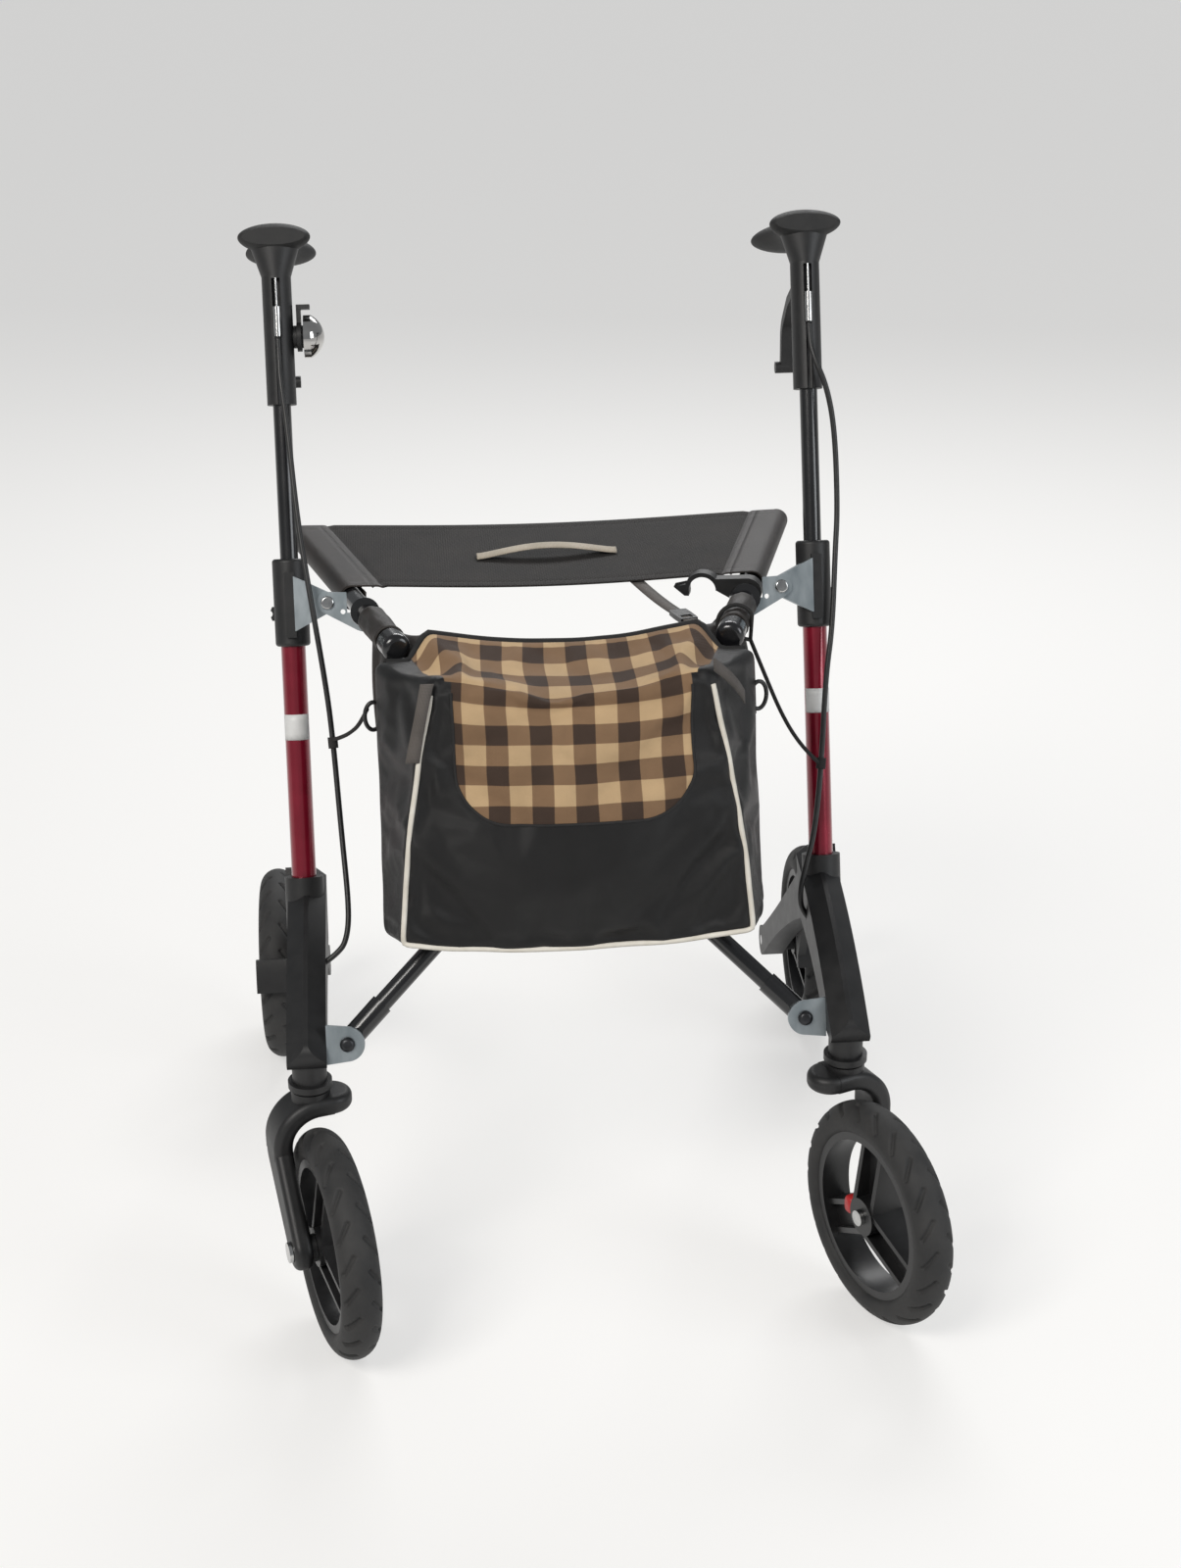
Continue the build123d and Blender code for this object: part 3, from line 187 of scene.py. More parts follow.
# %% [markdown]
# ## Finishes of the rigid pieces
# The tubes are lacquered, the legs and handles are moulded plastic, the plates and bolts are zinc, and the
# tyres are rubber. Pictures wrapped round each piece could show that, but they need an unwrapped mesh. Noise
# needs none, so every finish starts from the same idea: a base colour that drifts a little over the surface,
# a roughness that drifts with it, and a fine bump for the grain. The finishes then differ in how shiny they
# are and how coarse that grain is. Numbers that are the same all over the piece are set straight on the
# shader.

# %% Helpers for grained finishes


def colour_ramp(tree, share, *stops):
    """The colour at a share from 0 to 1, between stops that are each a place and a colour."""
    ramp = add_node(tree, "ShaderNodeValToRGB", {"Fac": share})
    elements = ramp.color_ramp.elements
    for number, (place, colour) in enumerate(stops):
        stop = elements[number] if number < 2 else elements.new(place)
        stop.position = place
        stop.color = (*colour, 1)
    return ramp.outputs["Color"]


def grained(name, dark, light, roughness, drift, grain, grain_depth, metal=0.0, coat=0.0, stretch=(1, 1, 1)):
    """A finish whose colour, roughness and grain come from two noise patterns in metres."""
    material, shader, tree = new_material(name)
    place = add_node(tree, "ShaderNodeTexCoord").outputs["Object"]
    spread = add_node(tree, "ShaderNodeMapping", {"Vector": place, "Scale": stretch}).outputs["Vector"]
    slow = add_node(tree, "ShaderNodeTexNoise", {"Vector": spread, "Scale": drift, "Detail": 6}).outputs["Fac"]
    fine = add_node(tree, "ShaderNodeTexNoise", {"Vector": spread, "Scale": grain, "Detail": 3}).outputs["Fac"]
    wear = add_node(tree, "ShaderNodeMapRange", {"Value": slow, "To Min": roughness[0], "To Max": roughness[1]})
    bump = add_node(tree, "ShaderNodeBump", {"Height": fine, "Strength": grain_depth, "Distance": 0.0004})
    feed(tree, shader, {
        "Base Color": colour_ramp(tree, slow, (0.3, dark), (0.7, light)), "Roughness": wear.outputs["Result"],
        "Normal": bump.outputs["Normal"], "Metallic": metal, "Coat Weight": coat, "Coat Roughness": 0.08,
    })
    return material


def dress(material, *names):
    """Gives CAD nodes a finish, without touching their shape."""
    for name in names:
        nodes[name].data.materials.clear()
        nodes[name].data.materials.append(material)


def sides(*names):
    """The names of left and right nodes."""
    return [f"{side}_{name}" for name in names for side in ("left", "right")]


# %% Lacquer, plastic, metal and rubber
crimson = grained(
    "crimson_lacquer", (0.22, 0.004, 0.018), (0.30, 0.008, 0.030), (0.2, 0.3), 30, 2600, 0.04, metal=0.4, coat=0.8
)
moulded = grained("moulded_black", (0.0075, 0.0075, 0.008), (0.0145, 0.0142, 0.0145), (0.4, 0.56), 60, 1500, 0.22)
satin = grained(
    "satin_black_plastic", (0.007, 0.007, 0.0075), (0.0135, 0.0133, 0.0137), (0.32, 0.46), 70, 1700, 0.12
)
palm = grained("palm_rubber", (0.012, 0.012, 0.0125), (0.024, 0.0235, 0.023), (0.6, 0.78), 80, 1300, 0.35)
gloss = grained(
    "gloss_black_tube", (0.006, 0.006, 0.007), (0.012, 0.012, 0.013), (0.16, 0.28), 25, 2200, 0.05, coat=0.35
)
zinc = grained(
    "zinc_plate", (0.27, 0.31, 0.33), (0.40, 0.44, 0.46), (0.34, 0.5), 90, 700, 0.12, metal=0.85,
    stretch=(1, 1, 0.25),
)
bright = grained("bright_steel", (0.42, 0.42, 0.42), (0.58, 0.58, 0.57), (0.16, 0.26), 120, 1800, 0.04, 1.0)
oxide = grained("black_bolt", (0.020, 0.021, 0.023), (0.042, 0.043, 0.047), (0.28, 0.42), 150, 1500, 0.1, 0.6)
chrome = grained("bell_chrome", (0.46, 0.45, 0.44), (0.58, 0.57, 0.55), (0.06, 0.13), 60, 1200, 0.02, 1.0)
rubber = grained("tyre_rubber", (0.018, 0.018, 0.0185), (0.042, 0.041, 0.040), (0.6, 0.82), 35, 900, 0.3)
dress(crimson, *sides("frame_tube"))
dress(moulded, *sides("lower_leg", "clamp_collar", "clamp_knob", "handle_body", "fork"))
dress(moulded, *sides("brake_lever", "brake_shoe"), "lock_hook", "bell_base", "bell_lever")
dress(palm, *sides("grip"))
dress(gloss, *sides("handle_tube", "seat_tube"), "front_brace", "rear_brace")
dress(zinc, *sides("hinge_bracket", "seat_rest", "hinge_plate"))
dress(bright, *sides("rivet", "front_axle", "rear_axle", "cable_adjuster"))
dress(oxide, *sides("pivot_bolt"), "centre_pivot")
dress(satin, *sides("front_hub", "rear_hub"))
dress(chrome, "bell_dome")
print("finishes", len(bpy.data.materials))

# %% [markdown]
# ## Cords
# Two brake cables run from the handles down to the legs, and two thin ties hold them near the bag. A cord is
# a tube along a smooth line. A NURBS spline of order 3 gives that line: it passes near its control points
# without corners, as a cable does. A curve with a bevel could be the tube as well. A mesh is chosen because
# the ties crumple when the frame folds.

# %% A smooth line through a route
LEAN = math.radians(17.1)
FOOT_Y = -0.160


def upright(x, back, along):
    """A point given in millimetres in the leaning frame of the uprights, as metres in the shared frame."""
    y = FOOT_Y + (along * math.sin(LEAN) + back * math.cos(LEAN)) / 1000
    return Vector((x / 1000, y, (along * math.cos(LEAN) - back * math.sin(LEAN)) / 1000))


def smooth_route(places):
    """Points along the NURBS spline whose control points are the route's places."""
    data = bpy.data.curves.new("route", "CURVE")
    data.dimensions = "3D"
    spline = data.splines.new("NURBS")
    spline.points.add(len(places) - 1)
    for point, place in zip(spline.points, places):
        point.co = (*place, 1)
    spline.order_u = 3
    spline.use_endpoint_u = True
    spline.resolution_u = 10
    holder = bpy.data.objects.new("route", data)
    traced = bpy.data.meshes.new_from_object(holder)
    line = [vertex.co.copy() for vertex in traced.vertices]
    bpy.data.objects.remove(holder)
    bpy.data.curves.remove(data)
    bpy.data.meshes.remove(traced)
    return line


def line_length(line):
    """The length of a line of points, in metres."""
    return sum((b - a).length for a, b in zip(line, line[1:]))


# %% A tube along a line


def round_turns(count):
    """Angles in equal steps once round a circle."""
    return [2 * math.pi * step / count for step in range(count)]


def tube_form(line, radius, around=12):
    """Points and faces of a closed tube that turns as little as it can along its line."""
    points, faces = [], []
    side = (line[1] - line[0]).orthogonal().normalized()
    last = len(line) - 1
    for i, place in enumerate(line):
        along = (line[min(i + 1, last)] - line[max(i - 1, 0)]).normalized()
        side = (side - along * side.dot(along)).normalized()
        across = along.cross(side)
        for turn in round_turns(around):
            points.append(place + radius * (math.cos(turn) * side + math.sin(turn) * across))
    for i in range(last):
        for j in range(around):
            k = (j + 1) % around
            faces.append((i * around + j, i * around + k, (i + 1) * around + k, (i + 1) * around + j))
    faces.append(tuple(reversed(range(around))))
    faces.append(tuple(last * around + j for j in range(around)))
    return points, faces


def new_piece(name, points, faces, finish, body=None):
    """A smooth mesh in a finish that rides on a body."""
    mesh = bpy.data.meshes.new(name)
    mesh.from_pydata([tuple(point) for point in points], [], faces)
    mesh.polygons.foreach_set("use_smooth", [True] * len(mesh.polygons))
    mesh.materials.append(finish)
    mesh.update()
    piece = bpy.data.objects.new(name, mesh)
    scene.collection.objects.link(piece)
    if body:
        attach(piece, body)
    return piece


# %% Brake cables
CABLE_D = 0.005
HANDLE_X = 236
jacket = grained("cable_jacket", (0.008, 0.008, 0.008), (0.016, 0.016, 0.016), (0.34, 0.48), 90, 1600, 0.1)
cable_routes = {
    "right": (
        (-236, -13.5, 845), (-236, -13.5, 826), (-235.5, -17.5, 806), (-231.5, -20, 770), (-226, -27, 684),
        (-218.5, -34, 624), (-207, -37, 537), (-203, -38, 489), (-199, -46, 407), (-195, -60, 347),
        (-196.5, -66, 320), (-204, -68, 303), (-226, -66, 290),
    ),
    "left": (
        (236, -13.5, 845), (236, -13.5, 828), (240, -18.5, 810), (250, -18.5, 785), (256.5, -15, 747),
        (257.5, -13, 677), (254, -15, 640), (249, -19, 571), (241.5, -20, 527), (235.5, -19.5, 447),
        (227, -23, 385), (217, -28, 356), (211, -29, 333), (213, -25, 314), (226, -20, 300),
    ),
}
cable_lines = {}
for side, route in cable_routes.items():
    line = smooth_route([upright(*place) for place in route])
    cable_lines[side] = line
    cable = new_piece(f"{side}_cable", *tube_form(line, CABLE_D / 2, 14), jacket)
    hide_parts(f"{side}_brake_cable")
    sign = 1 if side == "left" else -1
    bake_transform(cable)
    print(side, "cable", round(line_length(line), 3), "m")

# %% Ties
TIE_D = 0.0036
CLIP_R, LOOP_R = 0.0044, 0.0156
cord_cloth = grained(
    "tie_cloth", (0.012, 0.011, 0.011), (0.03, 0.028, 0.027), (0.8, 0.95), 60, 2200, 0.5, stretch=(1, 1, 0.4)
)
tie_routes = {
    "right": ((-170, -118, 520), (-177, -100, 506), (-187, -78, 497), (-196, -56, 492), (-203, -38, 489)),
    "left": (
        (166, -78, 565), (180, -66, 532), (194, -54, 500), (208, -42, 476), (224, -30, 457), (235.5, -19.5, 447),
    ),
}
for side, route in tie_routes.items():
    line = smooth_route([upright(*place) for place in route])
    tie = new_piece(f"{side}_cable_tie", *tube_form(line, TIE_D / 2, 10), cord_cloth, "cloth")
    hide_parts(f"{side}_tie")
    cable = cable_lines[side]
    middle = min(range(2, len(cable) - 2), key=lambda i: (cable[i] - line[-1]).length)
    clip_way = (cable[middle + 1] - cable[middle - 1]).normalized()
    clip_line = [cable[middle] + clip_way * step for step in (-0.005, -0.003, 0.003, 0.005)]
    clip = new_piece(f"{side}_tie_clip", *tube_form(clip_line, CLIP_R, 14), cord_cloth, "cloth")
    fixings = [clip]
    if side == "left":
        axis, start = Vector((0.1525, line[0].y, 0.580)), line[0]
        turns = [math.radians(-75 - 265 * step / 24) for step in range(25)]
        loop_line = [axis + LOOP_R * Vector((math.cos(turn), 0, math.sin(turn))) for turn in turns]
        loop_form = tube_form([start, *loop_line, start], TIE_D / 2, 10)
        loop = new_piece("left_tie_loop", *loop_form, cord_cloth, "cloth")
        fixings.append(loop)
    for piece in (tie, *fixings):
        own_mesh(piece)
    print(side, "tie", round(line_length(line), 3), "m")

# %% [markdown]
# ## Tyres
# The tyres are solid rubber with short slanted cuts on both shoulders. The CAD tyre is a plain ring, so a
# finer ring replaces it: its cross-section goes once round the wheel, and each point that falls in a cut is
# pressed in towards the axle. A bump in the material could draw the cuts too, but only real dents show along
# the edge of the tyre.

# %% Cross-section and cuts of a tyre
WHEEL_R = 0.100
CROWN_R = 0.0176
CUT_PITCH = 2 * math.pi / 22
CUT_SLANT = math.radians(38)
CUT_HALF_L, CUT_HALF_W, CUT_DEPTH = 0.0115, 0.0019, 0.0024
CUT_OFF = 0.0125
LIP_OUT, LIP_IN, LIP_END = 0.0006, 0.0008, 0.001


def smooth_step(low, high, value):
    """A share that rises softly from 0 at low to 1 at high."""
    share = min(1.0, max(0.0, (value - low) / (high - low)))
    return share * share * (3 - 2 * share)


def cut_depth(around, across):
    """How far a point on the tread lies in a cut, from its angle and its distance from the middle line."""
    deepest = 0.0
    for side in (-1, 1):
        nearest = round(around / CUT_PITCH - side / 4) * CUT_PITCH + side * CUT_PITCH / 4
        run = (around - nearest) * WHEEL_R
        off = across - side * CUT_OFF
        along = run * math.cos(CUT_SLANT) + side * off * math.sin(CUT_SLANT)
        beside = -side * run * math.sin(CUT_SLANT) + off * math.cos(CUT_SLANT)
        inside = smooth_step(CUT_HALF_W + LIP_OUT, CUT_HALF_W - LIP_IN, abs(beside))
        inside *= smooth_step(CUT_HALF_L + LIP_END, CUT_HALF_L - LIP_END, abs(along))
        deepest = max(deepest, CUT_DEPTH * inside)
    return deepest


def tyre_form(steps=600, rows=40):
    """A ring about the X axis: bead, sidewall, treaded crown, and back to the bead."""
    points, faces = [], []
    crown_centre = WHEEL_R - CROWN_R
    crown_turn = math.radians(83)
    walls = [(0.0140, 0.0750), (0.0162, 0.0775), (0.0171, 0.0795)]
    section = [(-x, r, None) for x, r in walls]
    for row in range(rows + 1):
        turn = crown_turn * (2 * row / rows - 1)
        section.append((CROWN_R * math.sin(turn), crown_centre + CROWN_R * math.cos(turn), turn))
    section += [(x, r, None) for x, r in reversed(walls)]
    for around in round_turns(steps):
        for x, r, turn in section:
            if turn is not None:
                dent = cut_depth(around, CROWN_R * turn)
                x, r = x - dent * math.sin(turn), r - dent * math.cos(turn)
            points.append(Vector((x, r * math.cos(around), r * math.sin(around))))
    size = len(section)
    for step in range(steps):
        start, following = step * size, (step + 1) % steps * size
        for row in range(size):
            after = (row + 1) % size
            faces.append((start + row, following + row, following + after, start + after))
    return points, faces


# %% Four tyres on their axles
ring_points, ring_faces = tyre_form()
for name in sides("front", "rear"):
    roll = joints[f"{name}_roll"]
    turn = Vector((1, 0, 0)).rotation_difference(Vector(roll["axis"])).to_matrix()
    middle = Vector(roll["pos_m"])
    placed = [turn @ point + middle for point in ring_points]
    tread = new_piece(f"{name}_tread", placed, ring_faces, rubber, f"{name}_wheel")
    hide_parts(f"{name}_tyre")
print("tyre faces", len(ring_faces))

# %% [markdown]
# A wedge of red plastic is pressed into the wheel beside one front hub. A cube with a bevel would come close,
# but the wedge also tapers. So it is a stack of three outlines with round corners, each a little smaller than
# the one below, with faces between them.

# %% Red wedge beside a front hub
WEDGE_OUT, WEDGE_HALF, WEDGE_TALL = 0.0220, 0.0060, 0.0085
WEDGE_LAYERS = ((-0.0020, 1.0), (-0.0158, 0.96), (-0.0174, 0.80))
WEDGE_STEPS = 24
red_plastic = grained("red_plastic", (0.48, 0.018, 0.020), (0.62, 0.030, 0.032), (0.35, 0.5), 90, 1500, 0.1)


def squarish(value):
    """A sine or cosine pushed outwards, so that a circle becomes a square with round corners."""
    return math.copysign(abs(value) ** 0.6, value)


roll = joints["left_front_roll"]
axle, middle = Vector(roll["axis"]), Vector(roll["pos_m"])
outward = Vector((0, 0, 1)).cross(axle).normalized()
wedge_points, wedge_faces = [], []
for depth, shrink in WEDGE_LAYERS:
    for turn in round_turns(WEDGE_STEPS):
        out = WEDGE_OUT + WEDGE_HALF * shrink * squarish(math.cos(turn))
        up = WEDGE_TALL * shrink * squarish(math.sin(turn))
        wedge_points.append(middle + axle * depth + outward * out + Vector((0, 0, up)))
for layer in range(2):
    for step in range(WEDGE_STEPS):
        a, b = layer * WEDGE_STEPS + step, layer * WEDGE_STEPS + (step + 1) % WEDGE_STEPS
        wedge_faces.append((a, a + WEDGE_STEPS, b + WEDGE_STEPS, b))
wedge_faces += [tuple(range(WEDGE_STEPS)), tuple(reversed(range(2 * WEDGE_STEPS, 3 * WEDGE_STEPS)))]
wedge = new_piece("hub_wedge", wedge_points, wedge_faces, red_plastic, "left_front_wheel")
print("wedge at", [round(value, 3) for value in wedge_points[0]])

# %% [markdown]
# ## Woven finishes
# The seat, the pull strap and the bag are cloth. A weave is two sets of threads that pass over and under each
# other: a small checker decides which thread is on top, and a sine wave rounds each thread. Threads made as
# a mesh would need millions of faces, so they are a bump in the material. The cloth carries its own flat
# coordinates in metres as a UV map, so the threads follow the cloth where it bends.

# %% Helpers for woven finishes


def mixed(tree, share, first, second):
    """A number between two others, by a share from 0 to 1."""
    return add_node(tree, "ShaderNodeMix", {"Factor": share, "A": first, "B": second}).outputs["Result"]


def waves(tree, pitch):
    """Sine waves along and across the cloth, from its flat coordinates, and these coordinates."""
    flat = add_node(tree, "ShaderNodeUVMap", uv_map="cloth").outputs["UV"]
    ways = add_node(tree, "ShaderNodeSeparateXYZ", {"Vector": flat}).outputs
    return [maths(tree, "SINE", maths(tree, "MULTIPLY", ways[way], math.pi / pitch)) for way in "XY"], flat


def thread_height(tree, pitch):
    """The height of crossing threads: a fine checker says which of the two lies on top."""
    both, flat = waves(tree, pitch)
    over = add_node(tree, "ShaderNodeTexChecker", {"Vector": flat, "Scale": 1 / pitch}).outputs["Fac"]
    return mixed(tree, over, *(maths(tree, "ABSOLUTE", wave) for wave in both))


def woven(name, dark, light, pitch, depth, roughness, sheen):
    """A finish of crossing threads, with a slow drift of colour over it."""
    material, shader, tree = new_material(name)
    threads = thread_height(tree, pitch)
    place = add_node(tree, "ShaderNodeTexCoord").outputs["Object"]
    drift = add_node(tree, "ShaderNodeTexNoise", {"Vector": place, "Scale": 28, "Detail": 5}).outputs["Fac"]
    tone = maths(tree, "MULTIPLY", threads, drift)
    bump = add_node(tree, "ShaderNodeBump", {"Height": threads, "Strength": depth, "Distance": 0.0005})
    feed(tree, shader, {
        "Base Color": colour_ramp(tree, tone, (0.1, dark), (0.6, light)), "Normal": bump.outputs["Normal"],
        "Roughness": roughness, "Specular IOR Level": 0.35, "Sheen Weight": sheen, "Sheen Roughness": 0.4,
    })
    return material


# %% Cloth of the seat and the strap
seat_mesh = woven("seat_mesh", (0.004, 0.0034, 0.003), (0.022, 0.017, 0.0145), 0.0022, 0.8, 0.75, 0.02)
sleeve_nylon = woven("sleeve_nylon", (0.010, 0.0070, 0.0058), (0.026, 0.0185, 0.0150), 0.0008, 0.3, 0.48, 0.02)
tape = woven("sand_tape", (0.36, 0.31, 0.24), (0.62, 0.55, 0.45), 0.0012, 0.5, 0.8, 0.15)
print("woven finishes made")

# %% A helper for sheets of cloth


def thick_sheet(name, grid, flat, thickness, finish, body):
    """A closed sheet of cloth round a grid of places, with its flat coordinates as UVs."""
    rows, columns = len(grid), len(grid[0])
    points, coordinates, faces = [], [], []
    for side in (-0.5, 0.5):
        for i in range(rows):
            for j in range(columns):
                down = grid[min(i + 1, rows - 1)][j] - grid[max(i - 1, 0)][j]
                over = grid[i][min(j + 1, columns - 1)] - grid[i][max(j - 1, 0)]
                points.append(grid[i][j] + side * thickness * over.cross(down).normalized())
                coordinates.append(flat[i][j])
    back = rows * columns
    for i in range(rows - 1):
        for j in range(columns - 1):
            a, b = i * columns + j, (i + 1) * columns + j
            faces.append((a, b, b + 1, a + 1))
            faces.append((back + a, back + a + 1, back + b + 1, back + b))
    rim = list(range(columns)) + [i * columns + columns - 1 for i in range(1, rows)]
    rim += [(rows - 1) * columns + j for j in range(columns - 2, -1, -1)]
    rim += [i * columns for i in range(rows - 2, 0, -1)]
    for a, b in zip(rim, rim[1:] + rim[:1]):
        faces.append((a, b, back + b, back + a))
    piece = new_piece(name, points, faces, finish, body)
    layer = piece.data.uv_layers.new(name="cloth")
    for loop in piece.data.loops:
        layer.data[loop.index].uv = coordinates[loop.vertex_index]
    return piece


# %% [markdown]
# ## Seat
# The seat is one stretched web with a tunnel sewn along each edge, and each tunnel slides over a seat tube.
# A tunnel goes over its tube, round the outside and up the inside, and it turns with the tube. The web between
# the tunnels dips a little in the middle, a line of stitching pulls it down into a groove beside each tube,
# and it gathers between the tubes when the frame folds. The cloth solver could stretch it, but a web that is
# pulled this tight has one plain section from front to back, and a formula gives that section at once.

# %% Measures of the seat
SEAT_Z = 0.580
HINGE_X, HINGE_Y = 0.170, -0.003
SPLAY = math.tan(math.radians(15))
WRAP_R = 0.0111
SLEEVE_W, TUNNEL_W = 0.027, 0.0195
SEAT_DIP = 0.006
SEWN_IN, SEWN_UNDER = 0.002, 0.0013
GROOVE_DEEP, GROOVE_WIDE = 0.0012, 0.0022
HEM_IN, HEM_DEEP, HEM_WIDE = 0.014, 0.0008, 0.0018
SEAT_ROWS, SEAT_T = 60, 0.0012
web_low, web_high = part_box("seat_web")
web_length = web_high[1] - web_low[1]
print("seat", round(web_length, 3), "m from front to back")

# %% Sections across the seat


def tube_x(y):
    """How far the left seat tube lies from the middle, since the tubes spread to the back."""
    return HINGE_X + (y - HINGE_Y) * SPLAY


def seat_top(x, y):
    """Height of the cloth's upper side, with its dip and the groove along the stitching."""
    edge = tube_x(y)
    groove = GROOVE_DEEP * math.exp(-(((x - edge + SLEEVE_W) / GROOVE_WIDE) ** 2))
    return SEAT_Z + WRAP_R - SEAT_DIP * max(0.0, 1 - (x / edge) ** 2) ** 1.5 - groove


def web_section(y):
    """Places across the web. Its edge is sewn in under the tunnel that holds the tube."""
    edge = tube_x(y)
    stitch, join = edge - SLEEVE_W, edge - TUNNEL_W
    across = [stitch * step / 34 for step in range(35)]
    across += [stitch + (join - stitch) * step / 5 for step in range(1, 6)]
    half = [(x, seat_top(x, y)) for x in across]
    half.append((join + SEWN_IN, seat_top(join, y) - SEWN_UNDER))
    return [(-x, z) for x, z in reversed(half[1:])] + half


def sleeve_section(y):
    """Places round the left tunnel, from the web over the tube, down its outside and up its inside."""
    edge = tube_x(y)
    section = [(x, seat_top(x, y)) for x in [edge - TUNNEL_W * (1 - step / 4) for step in range(5)]]
    for step in range(1, 25):
        turn = math.pi / 2 - 1.5 * math.pi * step / 24
        section.append((edge + WRAP_R * math.cos(turn), SEAT_Z + WRAP_R * math.sin(turn)))
    section.append((edge - WRAP_R - 0.0004, SEAT_Z + 0.005))
    return section


def right_sleeve_section(y):
    """The left tunnel, mirrored."""
    return [(-x, z) for x, z in reversed(sleeve_section(y))]


# %% Web and sleeves


def seat_piece(name, section_at, finish, body):
    """Cloth along the seat through a section at each place, with its hems pinched, made as a closed sheet."""
    grid, flat = [], []
    for row in range(SEAT_ROWS + 1):
        y = web_low[1] + web_length * row / SEAT_ROWS
        hem = min(row, SEAT_ROWS - row) / SEAT_ROWS * web_length
        pinch = HEM_DEEP * math.exp(-(((hem - HEM_IN) / HEM_WIDE) ** 2))
        section = section_at(y)
        steps = [math.hypot(b[0] - a[0], b[1] - a[1]) for a, b in zip(section, section[1:])]
        along = [sum(steps[:place]) - sum(steps) / 2 for place in range(len(section))]
        grid.append([Vector((x, y, z - (pinch if abs(x) < tube_x(y) else 0))) for x, z in section])
        flat.append([(u, y) for u in along])
    piece = thick_sheet(name, grid, flat, SEAT_T, finish, body)
    return piece


seat_piece("left_seat_sleeve", sleeve_section, sleeve_nylon, "front_brace_tube")
seat_piece("right_seat_sleeve", right_sleeve_section, sleeve_nylon, "rear_brace_tube")
web = seat_piece("seat_cloth", web_section, seat_mesh, "cloth")
web.data.materials.append(sleeve_nylon)
for face in web.data.polygons:
    face.material_index = int(abs(face.center.x) > tube_x(face.center.y) - SLEEVE_W)
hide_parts("seat_web")
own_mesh(web)

# %% [markdown]
# A short strap of sand-coloured webbing is sewn across the middle of the seat, and pulling it up folds the
# frame. It could be a curve with a flat bevel. A sheet is chosen because its edges can curl down a little
# while it rises between its sewn ends.

# %% Pull strap
STRAP_HALF, STRAP_W, STRAP_RISE = 0.066, 0.016, 0.010
STRAP_CURL, STRAP_T = 0.0016, 0.0016
STRAP_ROWS, STRAP_STEPS = 8, 30
strap_low, strap_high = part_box("pull_strap")
strap_y = (strap_low[1] + strap_high[1]) / 2
strap_top = SEAT_Z + WRAP_R - SEAT_DIP
strap_grid, strap_flat = [], []
for row in range(STRAP_ROWS + 1):
    across = STRAP_W * (row / STRAP_ROWS - 0.5)
    line, flat_row = [], []
    for step in range(2 * STRAP_STEPS + 1):
        share = step / STRAP_STEPS - 1
        lift = STRAP_RISE * max(0.0, 1 - share * share) ** 1.4 + 0.0025 + 0.0022 * share * share
        curl = STRAP_CURL * (2 * across / STRAP_W) ** 2
        line.append(Vector((STRAP_HALF * share, strap_y + across + 0.003 * share, strap_top + lift - curl)))
        flat_row.append((STRAP_HALF * share, across))
    strap_grid.append(line)
    strap_flat.append(flat_row)
strap = thick_sheet("lift_strap", strap_grid, strap_flat, STRAP_T, tape, "cloth")
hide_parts("pull_strap")
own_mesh(strap)

# %% [markdown]
# ## Bag
# The bag hangs in front from two sleeves on the seat tubes. Its front, sides and back are black nylon, and a
# checked panel with a round foot is set into the front and carries on over the lid. A bag of thin cloth is
# never flat: the front bellies out, the lid hangs in a hollow between its corners, and the cloth creases
# where a seam holds it. That could be sculpted by hand. Here the bag starts as a box with round edges, cut a
# little too large, and Blender's cloth solver lets it hang from its seams, because the folds then come from
# the cloth's own weight. The noise that dents the cloth has a fixed seed, so every run makes the same bag.

# %% The box that the bag is cut to
BAG_CORNERS = {
    "front_top": Vector((0.113, -0.198, 0.586)),
    "front_low": Vector((0.150, -0.238, 0.362)),
    "rear_top": Vector((0.166, -0.114, 0.566)),
    "rear_low": Vector((0.166, -0.174, 0.352)),
}
BAG_HALF = Vector((0.138, 0.1135, 0.040))
BAG_ROUND = 0.009
ACROSS, DOWN, BACK = 60, 46, 16
FRONT_TALL = (BAG_CORNERS["front_low"] - BAG_CORNERS["front_top"]).length
LID_DEEP = (BAG_CORNERS["rear_top"] - BAG_CORNERS["front_top"]).yz.length
FRONT_OUT = Vector((0, -0.9846, 0.1758))
BELLY = 0.007
LID_DIP = 0.008
LID_RISE, LID_SET_BACK, LID_HOLLOW = 0.026, 0.026, 0.55
FOOT_BELLY, FOOT_SAG, REAR_DROOP = 0.005, 0.009, 0.008
SEAM_BOW = 0.005
CORNER_RISE = 0.007
RUMPLE, RUMPLE_PITCH, RUMPLE_SEED = 0.0012, 24, 11
noise.seed_set(RUMPLE_SEED)
print("bag front", round(FRONT_TALL, 3), "m tall, lid", round(LID_DEEP, 3), "m deep")

# %% From a place in the box to a place in the room


def bag_place(side, low, back):
    """A place in the box: side -1 to 1, low 0 at the lid to 1 at the foot, back 0 to 1."""
    front = BAG_CORNERS["front_top"].lerp(BAG_CORNERS["front_low"], low)
    rear = BAG_CORNERS["rear_top"].lerp(BAG_CORNERS["rear_low"], low)
    front.x += SEAM_BOW * 4 * low * (1 - low)
    place = front.lerp(rear, back)
    return Vector((side * place.x, place.y, place.z))


